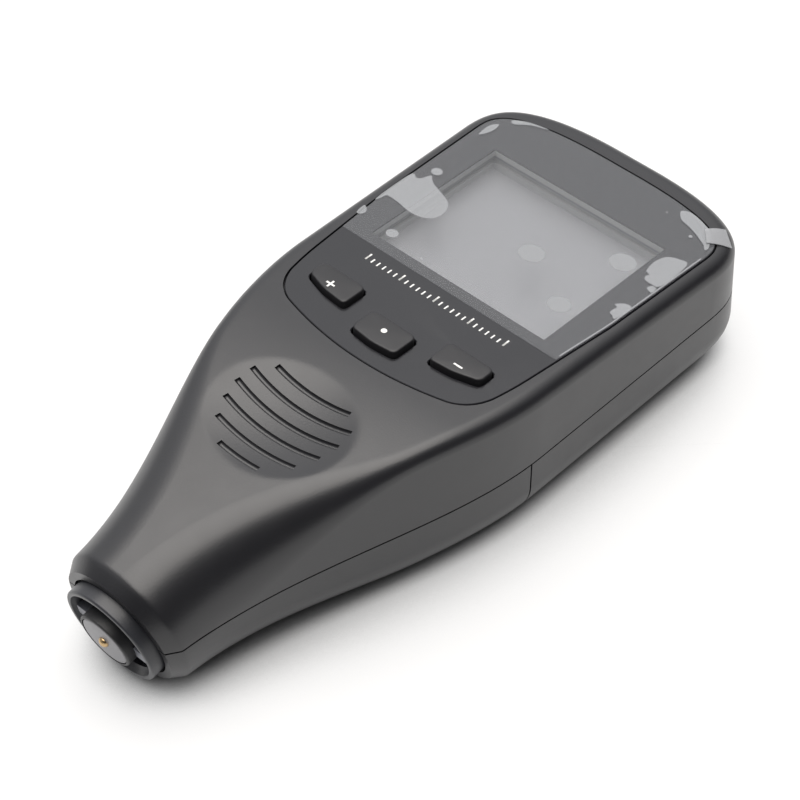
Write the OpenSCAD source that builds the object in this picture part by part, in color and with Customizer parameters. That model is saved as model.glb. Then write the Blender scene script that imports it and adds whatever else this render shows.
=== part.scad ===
// Hand-held coating thickness gauge with a sprung probe, lying on its back.
// +Z is up, +Y points to the display end and the probe points to -Y.
// The origin is the middle of the bottom of the part. All sizes are in millimetres and degrees.

/* [Casing] */
// Length from the probe face to the display end
body_l = 127; // [120:0.5:140]
// Greatest width, near the display end
body_w = 54; // [52:0.5:60]
// Diameter of the neck where it meets the nose
neck_d = 23.6; // [22.6:0.1:25]
// Height of the display face at the near edge of the window
face_h = 27.6; // [27.2:0.1:31]
// Slope of the display face, down towards the display end
face_tilt = 4; // [2:0.25:5]
// Height of the parting line between the two halves
parting_h = 13.8; // [13.4:0.1:14.2]
// Thickness of the side walls and the floor
wall = 2; // [1.6:0.1:2.4]
// Thickness of the shell under the panel
face_wall = 1.8; // [1.4:0.1:2.2]
// Radius along the bottom edges
bottom_r = 8.2; // [6:0.1:9]
// Width of the rounded shoulder between the top and the sides
shoulder = 2.6; // [2.2:0.1:3.2]
// Length of the rounded display end
end_l = 15; // [12:0.5:17]
// Width of the visible joints between the casing pieces
seam_gap = 0.3; // [0.2:0.05:0.4]

/* [Display] */
// Width of the window
window_w = 36; // [30:0.5:37]
// Length of the window
window_l = 30.5; // [26:0.5:31]
// Distance of the window's near edge from the middle of the part
window_y = 15.5; // [14.5:0.1:16]
// Thickness of the faceplate
panel_t = 1.2; // [1:0.1:1.5]
// Border of casing beside the faceplate
panel_border = 2.8; // [2.4:0.1:3.2]
// Gap round the faceplate
panel_gap = 0.25; // [0.15:0.05:0.35]
// Thickness of the clear pane
lens_t = 1.2; // [0.8:0.1:1.5]
// Depth of the display glass below the display face
glass_depth = 4.2; // [3.8:0.1:4.6]
// Thickness of the display glass
glass_t = 1.4; // [1:0.1:1.6]
// Thickness of the backlight
backlight_t = 1.8; // [1.4:0.1:2]
// Thickness of the circuit board
board_t = 1.4; // [1:0.1:1.6]
// Thickness of the protective film
film_t = 0.15; // [0.1:0.05:0.3]
// Distance of the film's near edge below the window
film_drop = 2.4; // [1.5:0.1:4]

/* [Keys] */
// Width of a key
key_w = 9; // [7.5:0.1:9.4]
// Length of a key
key_l = 5.2; // [4.6:0.1:5.6]
// Rise of the keys above the faceplate
key_rise = 1.1; // [0.8:0.1:1.6]
// Travel of a key
key_travel = 0.5; // [0.3:0.05:0.6]
// Gap round a key
key_gap = 0.25; // [0.2:0.05:0.4]
// Distance between the outer keys
key_span = 26.6; // [26:0.1:28]

/* [Probe] */
// Slope of the probe axis, down towards the tip
probe_tilt = 10; // [6:0.5:12]
// Height of the probe axis at the end of the casing
probe_z = 11.3; // [11.2:0.1:12.4]
// Diameter of the collar
collar_d = 17.8; // [17:0.1:18.4]
// Bore of the collar
collar_bore = 14.6; // [14:0.1:15.2]
// Reach of the collar out of the casing
collar_reach = 2.2; // [1.6:0.1:3]
// Diameter of the probe barrel
barrel_d = 10; // [9:0.1:10.6]
// Reach of the probe face past the collar
probe_reach = 1.1; // [0.6:0.1:1.6]
// Diameter of the brass tip
tip_d = 1.8; // [1.2:0.1:2.4]
// Travel of the probe
probe_travel = 1.8; // [1:0.1:2]

/* [Battery] */
// Diameter of a cell
cell_d = 10.5; // [10:0.1:10.7]
// Length of a cell with its nub
cell_l = 44.5; // [42:0.5:45]
// Distance of the cover's front seam from the middle of the part
seam_y = 4; // [3:0.1:4.6]
// Diameter of the case screws
screw_d = 2; // [1.6:0.1:2.4]

/* [Hidden] */
$fn = 48;
tiny = 0.01;
fit = 0.05;

// Landmarks of the plan and of the side view
end_y = body_l / 2;
wide_y = end_y - end_l;
tip_y = -end_y + (collar_reach + probe_reach) * cos(probe_tilt) + barrel_d / 2 * sin(probe_tilt);
neck_front = 0;
neck_back = 9;
blend_back = 32;
crown_back = 23.5;
neck_start = tip_y + neck_front;
neck_end = window_y - neck_back;
head_taper = 0.026;
end_power = 2.9;
end_sweep = 85;
end_draft = 4.7;
blend_y = window_y - blend_back;
crown_y = window_y - crown_back;
nose_l = 2.2;
nose_wall = 1.5;
nose_d = collar_d + 2 * nose_wall;
crest = 1;

function mix(a, b, t) = a + (b - a) * t;
function ease(u) = let (c = max(0, min(1, u))) c * c * (3 - 2 * c);

// Half width of the casing in plan
function half_w(y) =
    let (head = body_w / 2 - head_taper * max(0, wide_y - y))
    mix(neck_d / 2, head, ease((y - neck_start) / (neck_end - neck_start)));

// How round the section is: 1 at the nose, 0 under the display
function roundness(y) = 1 - ease((y - tip_y) / (blend_y - tip_y));

// Height of the top: the sloping display face, then one curve down to the nose
function face_z(y) = face_h - (y - window_y) * tan(face_tilt);
function top_z(y) =
    y >= crown_y ? face_z(y) :
    let (
        run = crown_y - tip_y,
        u = (crown_y - y) / run,
        rise = run * tan(face_tilt),
        fall = -run * tan(probe_tilt)
    )
    face_z(crown_y) * (2 * pow(u, 3) - 3 * pow(u, 2) + 1)
        + rise * (pow(u, 3) - 2 * pow(u, 2) + u)
        + (probe_z + neck_d / 2) * (3 * pow(u, 2) - 2 * pow(u, 3))
        + fall * (pow(u, 3) - pow(u, 2));
function floor_z(y) = max(0, probe_z - neck_d / 2) * pow(roundness(y), 2);

// Point on the rounded display end, at an angle from the side
function end_point(a, inset = 0, extra = 0) =
    let (p = 2 / end_power)
    [
        (body_w / 2 - inset) * pow(cos(a), p),
        wide_y + (end_l - inset - extra) * pow(sin(a) / sin(end_sweep), p)
    ];

// Right half of the plan, from the nose to the middle of the display end
function plan_half(y0, sides, ends) = concat(
    [for (i = [0:sides]) let (y = mix(y0, wide_y, i / sides)) [half_w(y), y]],
    [for (i = [1:ends]) end_point(end_sweep * i / ends)]
);

// Outward normal of the plan at one of its points
function plan_normal(plan, i) =
    let (
        a = plan[max(0, i - 1)],
        b = plan[min(len(plan) - 1, i + 1)],
        d = (b - a) / norm(b - a)
    )
    [d.y, -d.x];

// Half section as [inset from the plan, height above the floor or below the top, from_top]
function section_half(y, inset, roof, low, high) =
    let (
        q = roundness(y),
        w = half_w(y),
        bx = mix(bottom_r, w - crest, q) - inset,
        bz = mix(bottom_r, probe_z - floor_z(y) - crest / 2, q) - inset,
        sx = max(crest, mix(shoulder, w - crest, q) - inset),
        sz = max(crest, mix(shoulder, top_z(y) - probe_z - crest / 2, q) - roof)
    )
    concat(
        [for (i = [0:low]) let (a = 90 * i / low) [bx * (1 - sin(a)), inset + bz * (1 - cos(a)), false]],
        [for (i = [0:high]) let (a = 90 * i / high) [sx * (1 - cos(a)), -roof - sz * (1 - sin(a)), true]]
    );

// One ring of the loft: up the right side, then down the left; the display end leans in with the
// draft of the mould
function loft_ring(plan, i, inset, roof, low, high, shrink) =
    let (
        c = plan[i],
        n = plan_normal(plan, i),
        half = [
            for (s = section_half(c.y, inset, roof, low, high))
                let (
                    rise = s[2] ? max(0, top_z(c.y) + s[1] - bottom_r) : 0,
                    back = inset + s[0] + rise * tan(end_draft) * ease((c.y - wide_y) / end_l),
                    y = c.y - n.y * back,
                    z = s[2] ? top_z(y) + s[1] : floor_z(y) + s[1],
                    zs = mix(probe_z, z, shrink)
                )
                [
                    (c.x - n.x * back) * shrink,
                    y - (zs - probe_z) * tan(probe_tilt) * roundness(c.y),
                    zs
                ]
        ]
    )
    concat(half, [for (k = [len(half) - 1:-1:0]) [-half[k].x, half[k].y, half[k].z]]);

// Closed skin over a list of equal rings, with the two end rings closed straight across
function skin_faces(rings, size) =
    let (half = size / 2)
    concat(
        [
            for (r = [0:rings - 2], k = [0:size - 1])
                let (a = r * size + k, b = r * size + (k + 1) % size)
                each [[a, b, b + size], [a, b + size, a + size]]
        ],
        [for (k = [0:half - 2]) each [[k, size - 1 - k, k + 1], [k + 1, size - 1 - k, size - 2 - k]]],
        [
            for (k = [0:half - 2])
                let (e = (rings - 1) * size)
                each [[e + k, e + k + 1, e + size - 1 - k], [e + k + 1, e + size - 2 - k, e + size - 1 - k]]
        ]
    );

module skin(rings) {
    size = len(rings[0]);
    points = [for (r = rings) each r];
    polyhedron(points, skin_faces(len(rings), size), convexity = 8);
}

// Outer form of the whole casing, with the chamfered nose
module casing_form() {
    plan = plan_half(tip_y + nose_l, 24, 8);
    nose_plan = concat([[neck_d / 2, tip_y]], plan);
    skin([
        for (i = [0:len(nose_plan) - 1])
            loft_ring(nose_plan, i, 0, 0, 6, 7, i == 0 ? nose_d / neck_d : 1)
    ]);
}

// Room inside the casing, behind the probe chamber
module casing_room() {
    plan = plan_half(room_y, 12, 6);
    skin([for (i = [0:len(plan) - 1]) loft_ring(plan, i, wall, roof, 3, 3, 1)]);
}

// Levels of the display stack, measured from the display face
roof = panel_t + face_wall;
glass_base = -glass_depth - glass_t;
board_top = glass_base - backlight_t;
board_base = board_top - board_t;
lens_lap = 0.8;
glass_lap = 1;
bezel_lap = 3.2;
bezel_wall = 0.8;
bezel_gap = 0.3;
bezel_x = window_w / 2 + glass_lap + fit + bezel_wall;
lip_gap = 0.3;

// Keys: places, flange and the switches under them
key_row = 14.2;
key_drop = 2.9;
key_skew = 1.8;
key_bow = 0.5;
key_corner = 1.1;
key_soft = 0.3;
flange_t = 1.2;
flange_lap = 0.8;
flange_gap = 0.2;
key_base = -roof - flange_gap - flange_t;
switch_w = 4.6;
switch_t = 2.2;
plunger_d = 2.2;
plunger_gap = 0.1;
key_places = [[-key_span / 2, -key_row, -1], [0, -key_row - key_drop, 0], [key_span / 2, -key_row, 1]];

// Screw bosses, on both sides of the display
boss_d = 5;
boss_seat_d = 6.2;
boss_inset = 5.3;
boss_gap = 1.2;
boss_room = bezel_lap + boss_gap + boss_seat_d / 2;
boss_y = [window_y - boss_room, window_y + window_l + boss_room];
boss_x = half_w(boss_y[0]) - wall - boss_inset;
boss_places = [for (x = [-boss_x, boss_x], y = boss_y) [x, y]];

screw_reach = 4.5;
screw_head_d = 3.8;
screw_head_t = 1.4;

// Circuit board, with the parts under it
board_edge = 3;
board_corner = 3;
board_x = boss_x + board_edge;
board_room = 1.2;
board_foot = 5;
board_gap = 0.3;
chip_w = 10;
chip_t = 1.3;
beeper_d = 11;
beeper_t = 2;

// Probe: levels along its axis, measured inwards from the end of the casing
mouth_gap = 0.4;
mouth_depth = 1.2;
seat_depth = 9;
guide_front = 3;
rib_w = 2.2;
rib_set = 0.5;
rib_front = rib_set - collar_reach;
stop_gap = 0.1;
stop_t = 1.7;
stop_wall = 1.3;
stop_room = 0.3;
stop_d = barrel_d + 2 * stop_wall;
chamber_d = stop_d + 2 * stop_room;
spring_room = 14;
spring_wire = 0.8;
spring_over = 0.3;
spring_d = barrel_d + 2 * spring_over;
spring_turns = 7;
chamber_depth = seat_depth + stop_gap + stop_t + spring_room;
lead_hole_d = 4;
face_t = 1.5;
barrel_wall = 0.45;
tip_reach = 0.7;
core_d = 3;
coil_d = 8.4;
winding_l = 8;
face_level = -collar_reach - probe_reach;
chamber_wall = 1.6;
room_y = tip_y + (chamber_depth + chamber_wall) * cos(probe_tilt);

// Battery bay, between the bulkhead at the seam and the far rib
cell_gap = 0.4;
cell_z = wall + cell_gap + cell_d / 2;
cell_space = 0.9;
cell_pitch = cell_d + cell_space;
deck_gap = 0.1;
deck_t = 1.5;
deck_z = cell_z + cell_d / 2 + deck_gap;
deck_edge = 0.3;
deck_x = boss_x + boss_d / 2 + deck_edge;
deck_lap = 0.4;
deck_end = boss_y[1] + boss_d / 2 + deck_lap;
bulkhead_t = 1.6;
plate_t = 0.4;
contact_room = 4.7;
bay_l = cell_l + contact_room + 2 * plate_t;
bay_end = seam_y + bay_l;
skirt_t = 1.2;
skirt_gap = 0.15;
skirt_x = cell_pitch / 2 + cell_d / 2 + skirt_gap;
nub_d = 3.8;
nub_l = 1;
cell_near = seam_y + plate_t;
cell_far = cell_near + contact_room;
contact_wire = 0.5;
contact_d = 5.6;
contact_turns = 3;

// Finger grooves under the cover
rib_count = 4;
rib_pitch = 2.6;
rib_l = 16;
rib_cut = 0.4;
rib_from = 6;

// Rails of the cover: a foot on each side wall, and a lip that hangs on the edge of the deck
rail_from = 10;
rail_l = 16;
rail_t = 0.9;
rail_lip = 0.8;
rail_gap = 0.2;
rail_foot = 3;

// Thumb grip: a shallow scoop in the neck with curved grooves in an egg-shaped field,
// given as its half width, its reach towards the keys and its reach towards the probe
grip_back = 39.5;
grip_y = window_y - grip_back;
grip_r = 60;
grip_depth = 1.3;
groove_field = [10.6, 7, 11.7];
field_rise = 1.2;
groove_pitch = 3.14;
groove_count = 6;
groove_shift = 1.75;
groove_w = 0.75;
groove_depth = 0.5;
groove_bow = 50;

big = 4 * body_l;

// Frame of the display face: the origin is the middle of the window's near edge
module face_frame() translate([0, window_y, face_h]) rotate([-face_tilt, 0, 0]) children();

// Frame of the probe: +Z runs inwards along the axis from the end of the casing
module probe_frame() translate([0, tip_y, probe_z]) rotate([probe_tilt - 90, 0, 0]) children();

module slab(z0, z1) translate([0, 0, z0]) linear_extrude(z1 - z0) children();

module ring(d, bore, z0, z1) {
    translate([0, 0, z0])
        difference() {
            cylinder(d = d, h = z1 - z0);
            translate([0, 0, -tiny]) cylinder(d = bore, h = z1 - z0 + 2 * tiny);
        }
}

module block(x0, x1, y0, y1, z0, z1) translate([x0, y0, z0]) cube([x1 - x0, y1 - y0, z1 - z0]);

function mirrored(half) = concat(half, [for (k = [len(half) - 1:-1:0]) [-half[k].x, half[k].y]]);

// Outline with each corner cut back by r and rounded by a quadratic curve
function rounded(points, r, steps = 4) = [
    for (i = [0:len(points) - 1])
        let (
            v = points[i],
            a = points[(i + len(points) - 1) % len(points)],
            b = points[(i + 1) % len(points)],
            p = v + (a - v) / norm(a - v) * r,
            q = v + (b - v) / norm(b - v) * r
        )
        for (k = [0:steps])
            let (t = k / steps)
            p * pow(1 - t, 2) + v * 2 * t * (1 - t) + q * pow(t, 2)
];

// Outline of the faceplate from a starting height, in the face frame
panel_sag = 3.6;
panel_reach = 20;
panel_inset = 0.2;
panel_corner_x = 16.5;
panel_corner_y = 4;
panel_end = 3.2;
panel_flare = 0.06;
panel_straight = 9.5;
function panel_side(y, grow) =
    [half_w(y + window_y) - panel_border - panel_flare * max(0, panel_straight - y) + grow, y];
function panel_low(x, grow) = [x, crown_y - window_y + panel_sag * pow(x / panel_reach, 2) - grow];
function panel_foot(grow) =
    let (
        p = panel_low(panel_corner_x, grow),
        y = panel_low(panel_corner_x + panel_corner_y, grow).y,
        v = [panel_side(y, grow).x - panel_inset, y],
        q = panel_side(y + panel_corner_y, grow)
    )
    concat(
        [for (i = [0:4]) panel_low(panel_corner_x * i / 4, grow)],
        [for (t = [0.2:0.2:1]) p * pow(1 - t, 2) + v * 2 * t * (1 - t) + q * pow(t, 2)]
    );
function panel_head(y0, grow) = concat(
    [for (i = [0:6]) panel_side(mix(y0, wide_y - window_y, i / 6), grow)],
    [for (i = [1:7]) end_point(end_sweep * i / 7, panel_border - grow, panel_end) - [0, window_y]]
);
module panel_outline(grow) {
    foot = panel_foot(grow);
    start = foot[len(foot) - 1].y + 1;
    half = concat([for (p = foot) if (p.x > 0) p], panel_head(start, grow));
    polygon(mirrored(half));
}

// Outline of a key about its own centre; lean is -1, 0 or 1 for the left, middle and right key
function key_outline(lean, grow) =
    let (
        w = key_w / 2 + grow,
        l = key_l / 2 + grow,
        left = lean < 0 ? key_skew : 0,
        right = lean > 0 ? key_skew : 0
    )
    rounded(
        [[w, l], [-w, l], [-w, left - l], [0, max(left, right) / 2 - l - key_bow], [w, right - l]],
        key_corner
    );

module on_key(place) translate([place.x, place.y, 0]) children();

module key_cap(place) {
    face_frame()
        on_key(place) {
            slab(key_base, key_rise - key_soft) polygon(key_outline(place[2], 0));
            slab(key_base, key_base + flange_t) polygon(key_outline(place[2], flange_lap));
            hull() {
                slab(key_rise - key_soft - tiny, key_rise - key_soft) polygon(key_outline(place[2], 0));
                slab(key_rise - tiny, key_rise) polygon(key_outline(place[2], -key_soft));
            }
        }
}

// Helical wire along +Z, from the middle of its first turn to the middle of its last
module coil(d, wire, z0, z1, turns) {
    steps = 14;
    sides = 6;
    skin([
        for (i = [0:turns * steps])
            [
                for (k = [0:sides - 1])
                    let (a = 360 * i / steps, p = 360 * k / sides, r = d / 2 - wire / 2 + wire / 2 * cos(p))
                    [r * cos(a), r * sin(a), mix(z0, z1, i / (turns * steps)) + wire / 2 * sin(p)]
            ]
    ]);
}

module probe_bores() {
    probe_frame() {
        translate([0, 0, -1]) cylinder(d = collar_d + 2 * mouth_gap, h = mouth_depth + 1);
        cylinder(d = collar_d + 2 * fit, h = seat_depth);
        cylinder(d = chamber_d, h = chamber_depth);
        cylinder(d = lead_hole_d, h = chamber_depth + 4 * chamber_wall);
    }
}

// Places the scoop's sphere so that it dips below the crown along the normal there
module grip_ball(extra) {
    slope = (top_z(grip_y + 0.5) - top_z(grip_y - 0.5));
    up = [0, -slope, 1] / norm([0, -slope, 1]);
    translate([0, grip_y, top_z(grip_y)] + (grip_r - grip_depth) * up)
        sphere(r = grip_r + extra, $fn = 160);
}

module grip_grooves() {
    intersection() {
        grip_ball(groove_depth);
        translate([0, grip_y + field_rise, 0])
            linear_extrude(2 * face_h)
                polygon([
                    for (a = [0:15:345])
                        [groove_field.x * cos(a), (a < 180 ? groove_field.y : groove_field.z) * sin(a)]
                ]);
        for (i = [0:groove_count - 1])
            translate([0, grip_y - groove_shift + groove_bow + groove_pitch * ((groove_count - 1) / 2 - i), 0])
                ring(2 * groove_bow + groove_w, 2 * groove_bow - groove_w, 0, 2 * face_h);
    }
}

// Screw boss: a wide seat above the board, and a post through the board down to the deck
module boss(p) {
    seat_z = face_z(p.y) + board_top;
    foot_z = deck_z + deck_t;
    difference() {
        translate([p.x, p.y, seat_z - 1])
            cylinder(d = boss_seat_d, h = face_wall / 3 + 1 - roof - board_top);
        face_frame() slab(-big, board_top) square(big, center = true);
    }
    translate([p.x, p.y, foot_z]) cylinder(d = boss_d, h = seat_z + 1 - foot_z);
}

module front_shell() {
    color("#3a3a3d")
        difference() {
            union() {
                difference() {
                    intersection() {
                        casing_form();
                        block(-big, big, -big, big, parting_h + seam_gap / 2, big);
                    }
                    casing_room();
                }
                for (p = boss_places) boss(p);
            }
            for (p = boss_places)
                translate([p.x, p.y, deck_z]) cylinder(d = screw_d + 2 * fit, h = screw_reach + deck_t + 1);
            face_frame() {
                slab(-panel_t, big) panel_outline(panel_gap);
                translate([0, window_l / 2, -roof - 1])
                    linear_extrude(big)
                        square([window_w, window_l] + 2 * (lens_lap + fit) * [1, 1], center = true);
                for (p = key_places) on_key(p) slab(-roof - 1, 0) polygon(key_outline(p[2], key_gap));
            }
            probe_bores();
            grip_ball(0);
            grip_grooves();
        }
}

module rear_shell() {
    color("#363639")
        difference() {
            union() {
                difference() {
                    intersection() {
                        casing_form();
                        block(-big, big, -big, seam_y, -big, parting_h - seam_gap / 2);
                    }
                    difference() {
                        casing_room();
                        block(-big, big, seam_y - bulkhead_t, seam_y, -big, big);
                    }
                }
                block(-deck_x, deck_x, seam_y - bulkhead_t, deck_end, deck_z, deck_z + deck_t);
                for (s = [-1, 1])
                    block(
                        s * (skirt_x + skirt_t / 2) - skirt_t / 2, s * (skirt_x + skirt_t / 2) + skirt_t / 2,
                        seam_y - tiny, bay_end + skirt_t, cell_z - cell_d / 4, deck_z + tiny
                    );
                block(
                    -skirt_x - tiny, skirt_x + tiny,
                    bay_end, bay_end + skirt_t, cell_z - cell_d / 4, deck_z + tiny
                );
            }
            for (p = boss_places)
                translate([p.x, p.y, deck_z - 1]) cylinder(d = screw_d + 4 * fit, h = deck_t + 2);
            probe_bores();
        }
}

module cover_rail() {
    x = deck_x + rail_gap;
    y0 = seam_y + rail_from;
    y1 = y0 + rail_l;
    top = deck_z + deck_t + rail_gap;
    base = parting_h - seam_gap / 2;
    block(x, half_w(y1) - wall / 2, y0, y1, base - rail_foot, base);
    block(x, x + rail_t, y0, y1, base - rail_foot, top + rail_t);
    block(deck_x - rail_lip, x + tiny, y0, y1, top, top + rail_t);
}

module battery_cover() {
    color("#363639") {
        cover_tray();
        cover_rail();
        mirror([1, 0, 0]) cover_rail();
    }
}

module cover_tray() {
    difference() {
        intersection() {
            casing_form();
            block(-big, big, seam_y + seam_gap, big, -big, parting_h - seam_gap / 2);
        }
        casing_room();
        for (i = [0:rib_count - 1])
            translate([0, seam_y + rib_from + i * rib_pitch, 0])
                block(-rib_l / 2, rib_l / 2, 0, rib_pitch / 2, -1, rib_cut);
    }
}

module face_panel() {
    color("#4c4c50")
        face_frame()
            difference() {
                slab(-panel_t, 0) panel_outline(0);
                slab(-panel_t - 1, 1) translate([-window_w / 2, 0]) square([window_w, window_l]);
                for (p = key_places) on_key(p) slab(-panel_t - 1, 1) polygon(key_outline(p[2], key_gap));
            }
}

module screen_film() {
    color("#c8ccd0", 0.4)
        face_frame()
            slab(0, film_t) polygon(mirrored(panel_head(-film_drop, 0)));
}

module window_pane(z0, z1, lap) {
    slab(z0, z1)
        translate([0, window_l / 2])
            square([window_w + 2 * lap, window_l + 2 * lap], center = true);
}

module window_lens() color("#dfe5e8", 0.4) face_frame() window_pane(-panel_t - lens_t, -panel_t, lens_lap);

// The frame's top is stepped in to clear the rounded corner of the room
corner_x = max(crest, shoulder - wall);
corner_z = max(crest, shoulder - roof) + bezel_gap;
module bezel_outline(x) translate([-x, -bezel_lap]) square([2 * x, window_l + 2 * bezel_lap]);

module lcd_bezel() {
    color("#b9babb")
        face_frame()
            difference() {
                slab(board_top, -roof) bezel_outline(bezel_x);
                difference() {
                    slab(-roof - corner_z, 1) bezel_outline(big);
                    slab(-roof - corner_z - 1, 2) bezel_outline(bezel_x - corner_x);
                }
                window_pane(board_top - 1, -roof + 1, lip_gap);
                window_pane(board_top - 1, -glass_depth, glass_lap + fit);
            }
}

module lcd_glass() color("#a2a5a6") face_frame() window_pane(glass_base, -glass_depth, glass_lap);

module backlight_panel() color("#e6e7e4") face_frame() window_pane(board_top, glass_base, glass_lap);

module key_left() color("#444448") key_cap(key_places[0]);

module key_middle() color("#444448") key_cap(key_places[1]);

module key_right() color("#444448") key_cap(key_places[2]);

module tact_switches() {
    color("#1f1f21")
        face_frame()
            for (p = key_places)
                on_key(p) {
                    slab(board_top, board_top + switch_t) square(switch_w, center = true);
                    translate([0, 0, board_top])
                        cylinder(d = plunger_d, h = key_base - key_travel - plunger_gap - board_top);
                }
}

function board_side(y) = [min(board_x, half_w(y) - wall - board_room), y - window_y];

module circuit_board() {
    foot = window_y - key_row - key_drop - board_foot;
    side = concat(
        [for (i = [0:6]) board_side(mix(foot, deck_end - board_corner, i / 6))],
        [[board_x - board_corner, deck_end - window_y]]
    );
    color("#2f6b45")
        face_frame()
            difference() {
                slab(board_base, board_top) polygon(mirrored(side));
                for (p = boss_places)
                    rotate([face_tilt, 0, 0])
                        translate([p.x, p.y - window_y, -face_h])
                            cylinder(d = boss_d + 2 * board_gap, h = face_h);
            }
}

module main_chip() {
    color("#202022")
        face_frame()
            translate([0, window_l / 2, 0])
                slab(board_base - chip_t, board_base) square(chip_w, center = true);
}

module beeper() {
    color("#b08d3c")
        face_frame()
            translate([0, -beeper_d, board_base - beeper_t]) cylinder(d = beeper_d, h = beeper_t);
}

module probe_collar() {
    edge = 0.5;
    color("#77787c")
        probe_frame()
            rotate_extrude()
                polygon([
                    [collar_bore / 2, seat_depth],
                    [collar_d / 2, seat_depth],
                    [collar_d / 2, edge - collar_reach],
                    [collar_d / 2 - edge, -collar_reach],
                    [collar_bore / 2 + edge / 2, -collar_reach],
                    [collar_bore / 2, edge / 2 - collar_reach]
                ]);
}

module probe_guide() {
    guide_d = collar_bore - 2 * fit;
    color("#8d8e92")
        probe_frame()
            difference() {
                union() {
                    ring(guide_d, barrel_d + 2 * fit, guide_front, seat_depth);
                    intersection() {
                        block(-big, big, -rib_w / 2, rib_w / 2, rib_front, guide_front + tiny);
                        translate([0, 0, rib_front])
                            cylinder(d = guide_d, h = guide_front - rib_front + tiny);
                    }
                }
                translate([0, 0, -big / 2]) cylinder(d = barrel_d + 2 * fit, h = big);
            }
}

module probe_barrel() {
    stop = seat_depth + stop_gap;
    color("#2b2b2e")
        probe_frame()
            difference() {
                union() {
                    translate([0, 0, face_level]) cylinder(d = barrel_d, h = stop + stop_t - face_level);
                    translate([0, 0, stop]) cylinder(d = stop_d, h = stop_t);
                }
                translate([0, 0, face_level - 1]) cylinder(d = barrel_d - 2 * barrel_wall, h = big);
            }
}

module probe_face() {
    color("#a5a4a6")
        probe_frame()
            difference() {
                translate([0, 0, face_level]) cylinder(d = barrel_d - 2 * barrel_wall - 2 * tiny, h = face_t);
                translate([0, 0, face_level - 1]) cylinder(d = tip_d, h = face_t + 2);
            }
}

module probe_tip() {
    color("#b99546")
        probe_frame()
            rotate_extrude()
                polygon(concat(
                    [[0, face_level + face_t], [tip_d / 2 - tiny, face_level + face_t]],
                    [for (a = [0:15:90]) [(tip_d / 2 - tiny) * cos(a), face_level - tip_reach * sin(a)]]
                ));
}

module probe_core() {
    color("#3c3c40")
        probe_frame()
            translate([0, 0, face_level + face_t]) cylinder(d = core_d, h = winding_l + 2);
}

module probe_coil() {
    color("#a8682f")
        probe_frame()
            ring(coil_d, core_d + 2 * tiny, face_level + face_t, face_level + face_t + winding_l);
}

module probe_spring() {
    from = seat_depth + stop_gap + stop_t + spring_wire / 2 + tiny;
    color("#b9bcc0")
        probe_frame()
            coil(spring_d, spring_wire, from, chamber_depth - spring_wire / 2 - tiny, spring_turns);
}

// A cell along +Y; end is -1 with the nub towards the probe, 1 with the nub towards the display end
module cell(x, y0, end) {
    can_l = cell_l - nub_l;
    translate([x, y0 + cell_l / 2, cell_z])
        rotate([-90 * end, 0, 0])
            translate([0, 0, -cell_l / 2]) {
                cylinder(d = cell_d, h = can_l);
                cylinder(d = nub_d, h = cell_l);
            }
}

module battery_cell_left() color("#8a8f94") cell(-cell_pitch / 2, cell_far, 1);

module battery_cell_right() color("#8a8f94") cell(cell_pitch / 2, cell_near, -1);

module contact_plates() {
    plate_z = [cell_z - cell_d / 4, cell_z + cell_d * 0.4];
    plate_x = cell_pitch / 2 + cell_d * 0.4;
    color("#c3c6ca") {
        block(-plate_x, plate_x, seam_y, seam_y + plate_t, plate_z[0], plate_z[1]);
        for (s = [-1, 1])
            block(
                s * cell_pitch / 2 - cell_d * 0.4, s * cell_pitch / 2 + cell_d * 0.4,
                bay_end - plate_t, bay_end, plate_z[0], plate_z[1]
            );
    }
}

module contact_springs() {
    rest = contact_wire / 2 + tiny;
    color("#c3c6ca") {
        translate([-cell_pitch / 2, cell_near, cell_z])
            rotate([-90, 0, 0]) coil(contact_d, contact_wire, rest, contact_room - rest, contact_turns);
        translate([cell_pitch / 2, bay_end - plate_t, cell_z])
            rotate([90, 0, 0]) coil(contact_d, contact_wire, rest, contact_room - rest, contact_turns);
    }
}

module case_screws() {
    color("#8f9296")
        for (p = boss_places)
            translate([p.x, p.y, deck_z]) {
                cylinder(d = screw_d, h = deck_t + screw_reach);
                translate([0, 0, -screw_head_t]) cylinder(d = screw_head_d, h = screw_head_t);
            }
}

front_shell();
rear_shell();
battery_cover();
face_panel();
screen_film();
window_lens();
lcd_bezel();
lcd_glass();
backlight_panel();
key_left();
key_middle();
key_right();
tact_switches();
circuit_board();
main_chip();
beeper();
probe_collar();
probe_guide();
probe_barrel();
probe_face();
probe_tip();
probe_core();
probe_coil();
probe_spring();
battery_cell_left();
battery_cell_right();
contact_plates();
contact_springs();
case_screws();
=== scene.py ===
# %% [markdown]
# # A hand-held coating thickness gauge
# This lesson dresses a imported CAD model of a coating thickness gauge: a bottle-shaped plastic
# casing with a display at the wide end and a sprung measuring probe in the neck. The CAD model is
# loaded as a fixed frame. Every piece made here sits in the same frame, in metres, and rides on one
# of its bodies.

# %% Load the frame
import math

import bmesh
import bpy
from mathutils import Matrix, Vector


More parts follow.
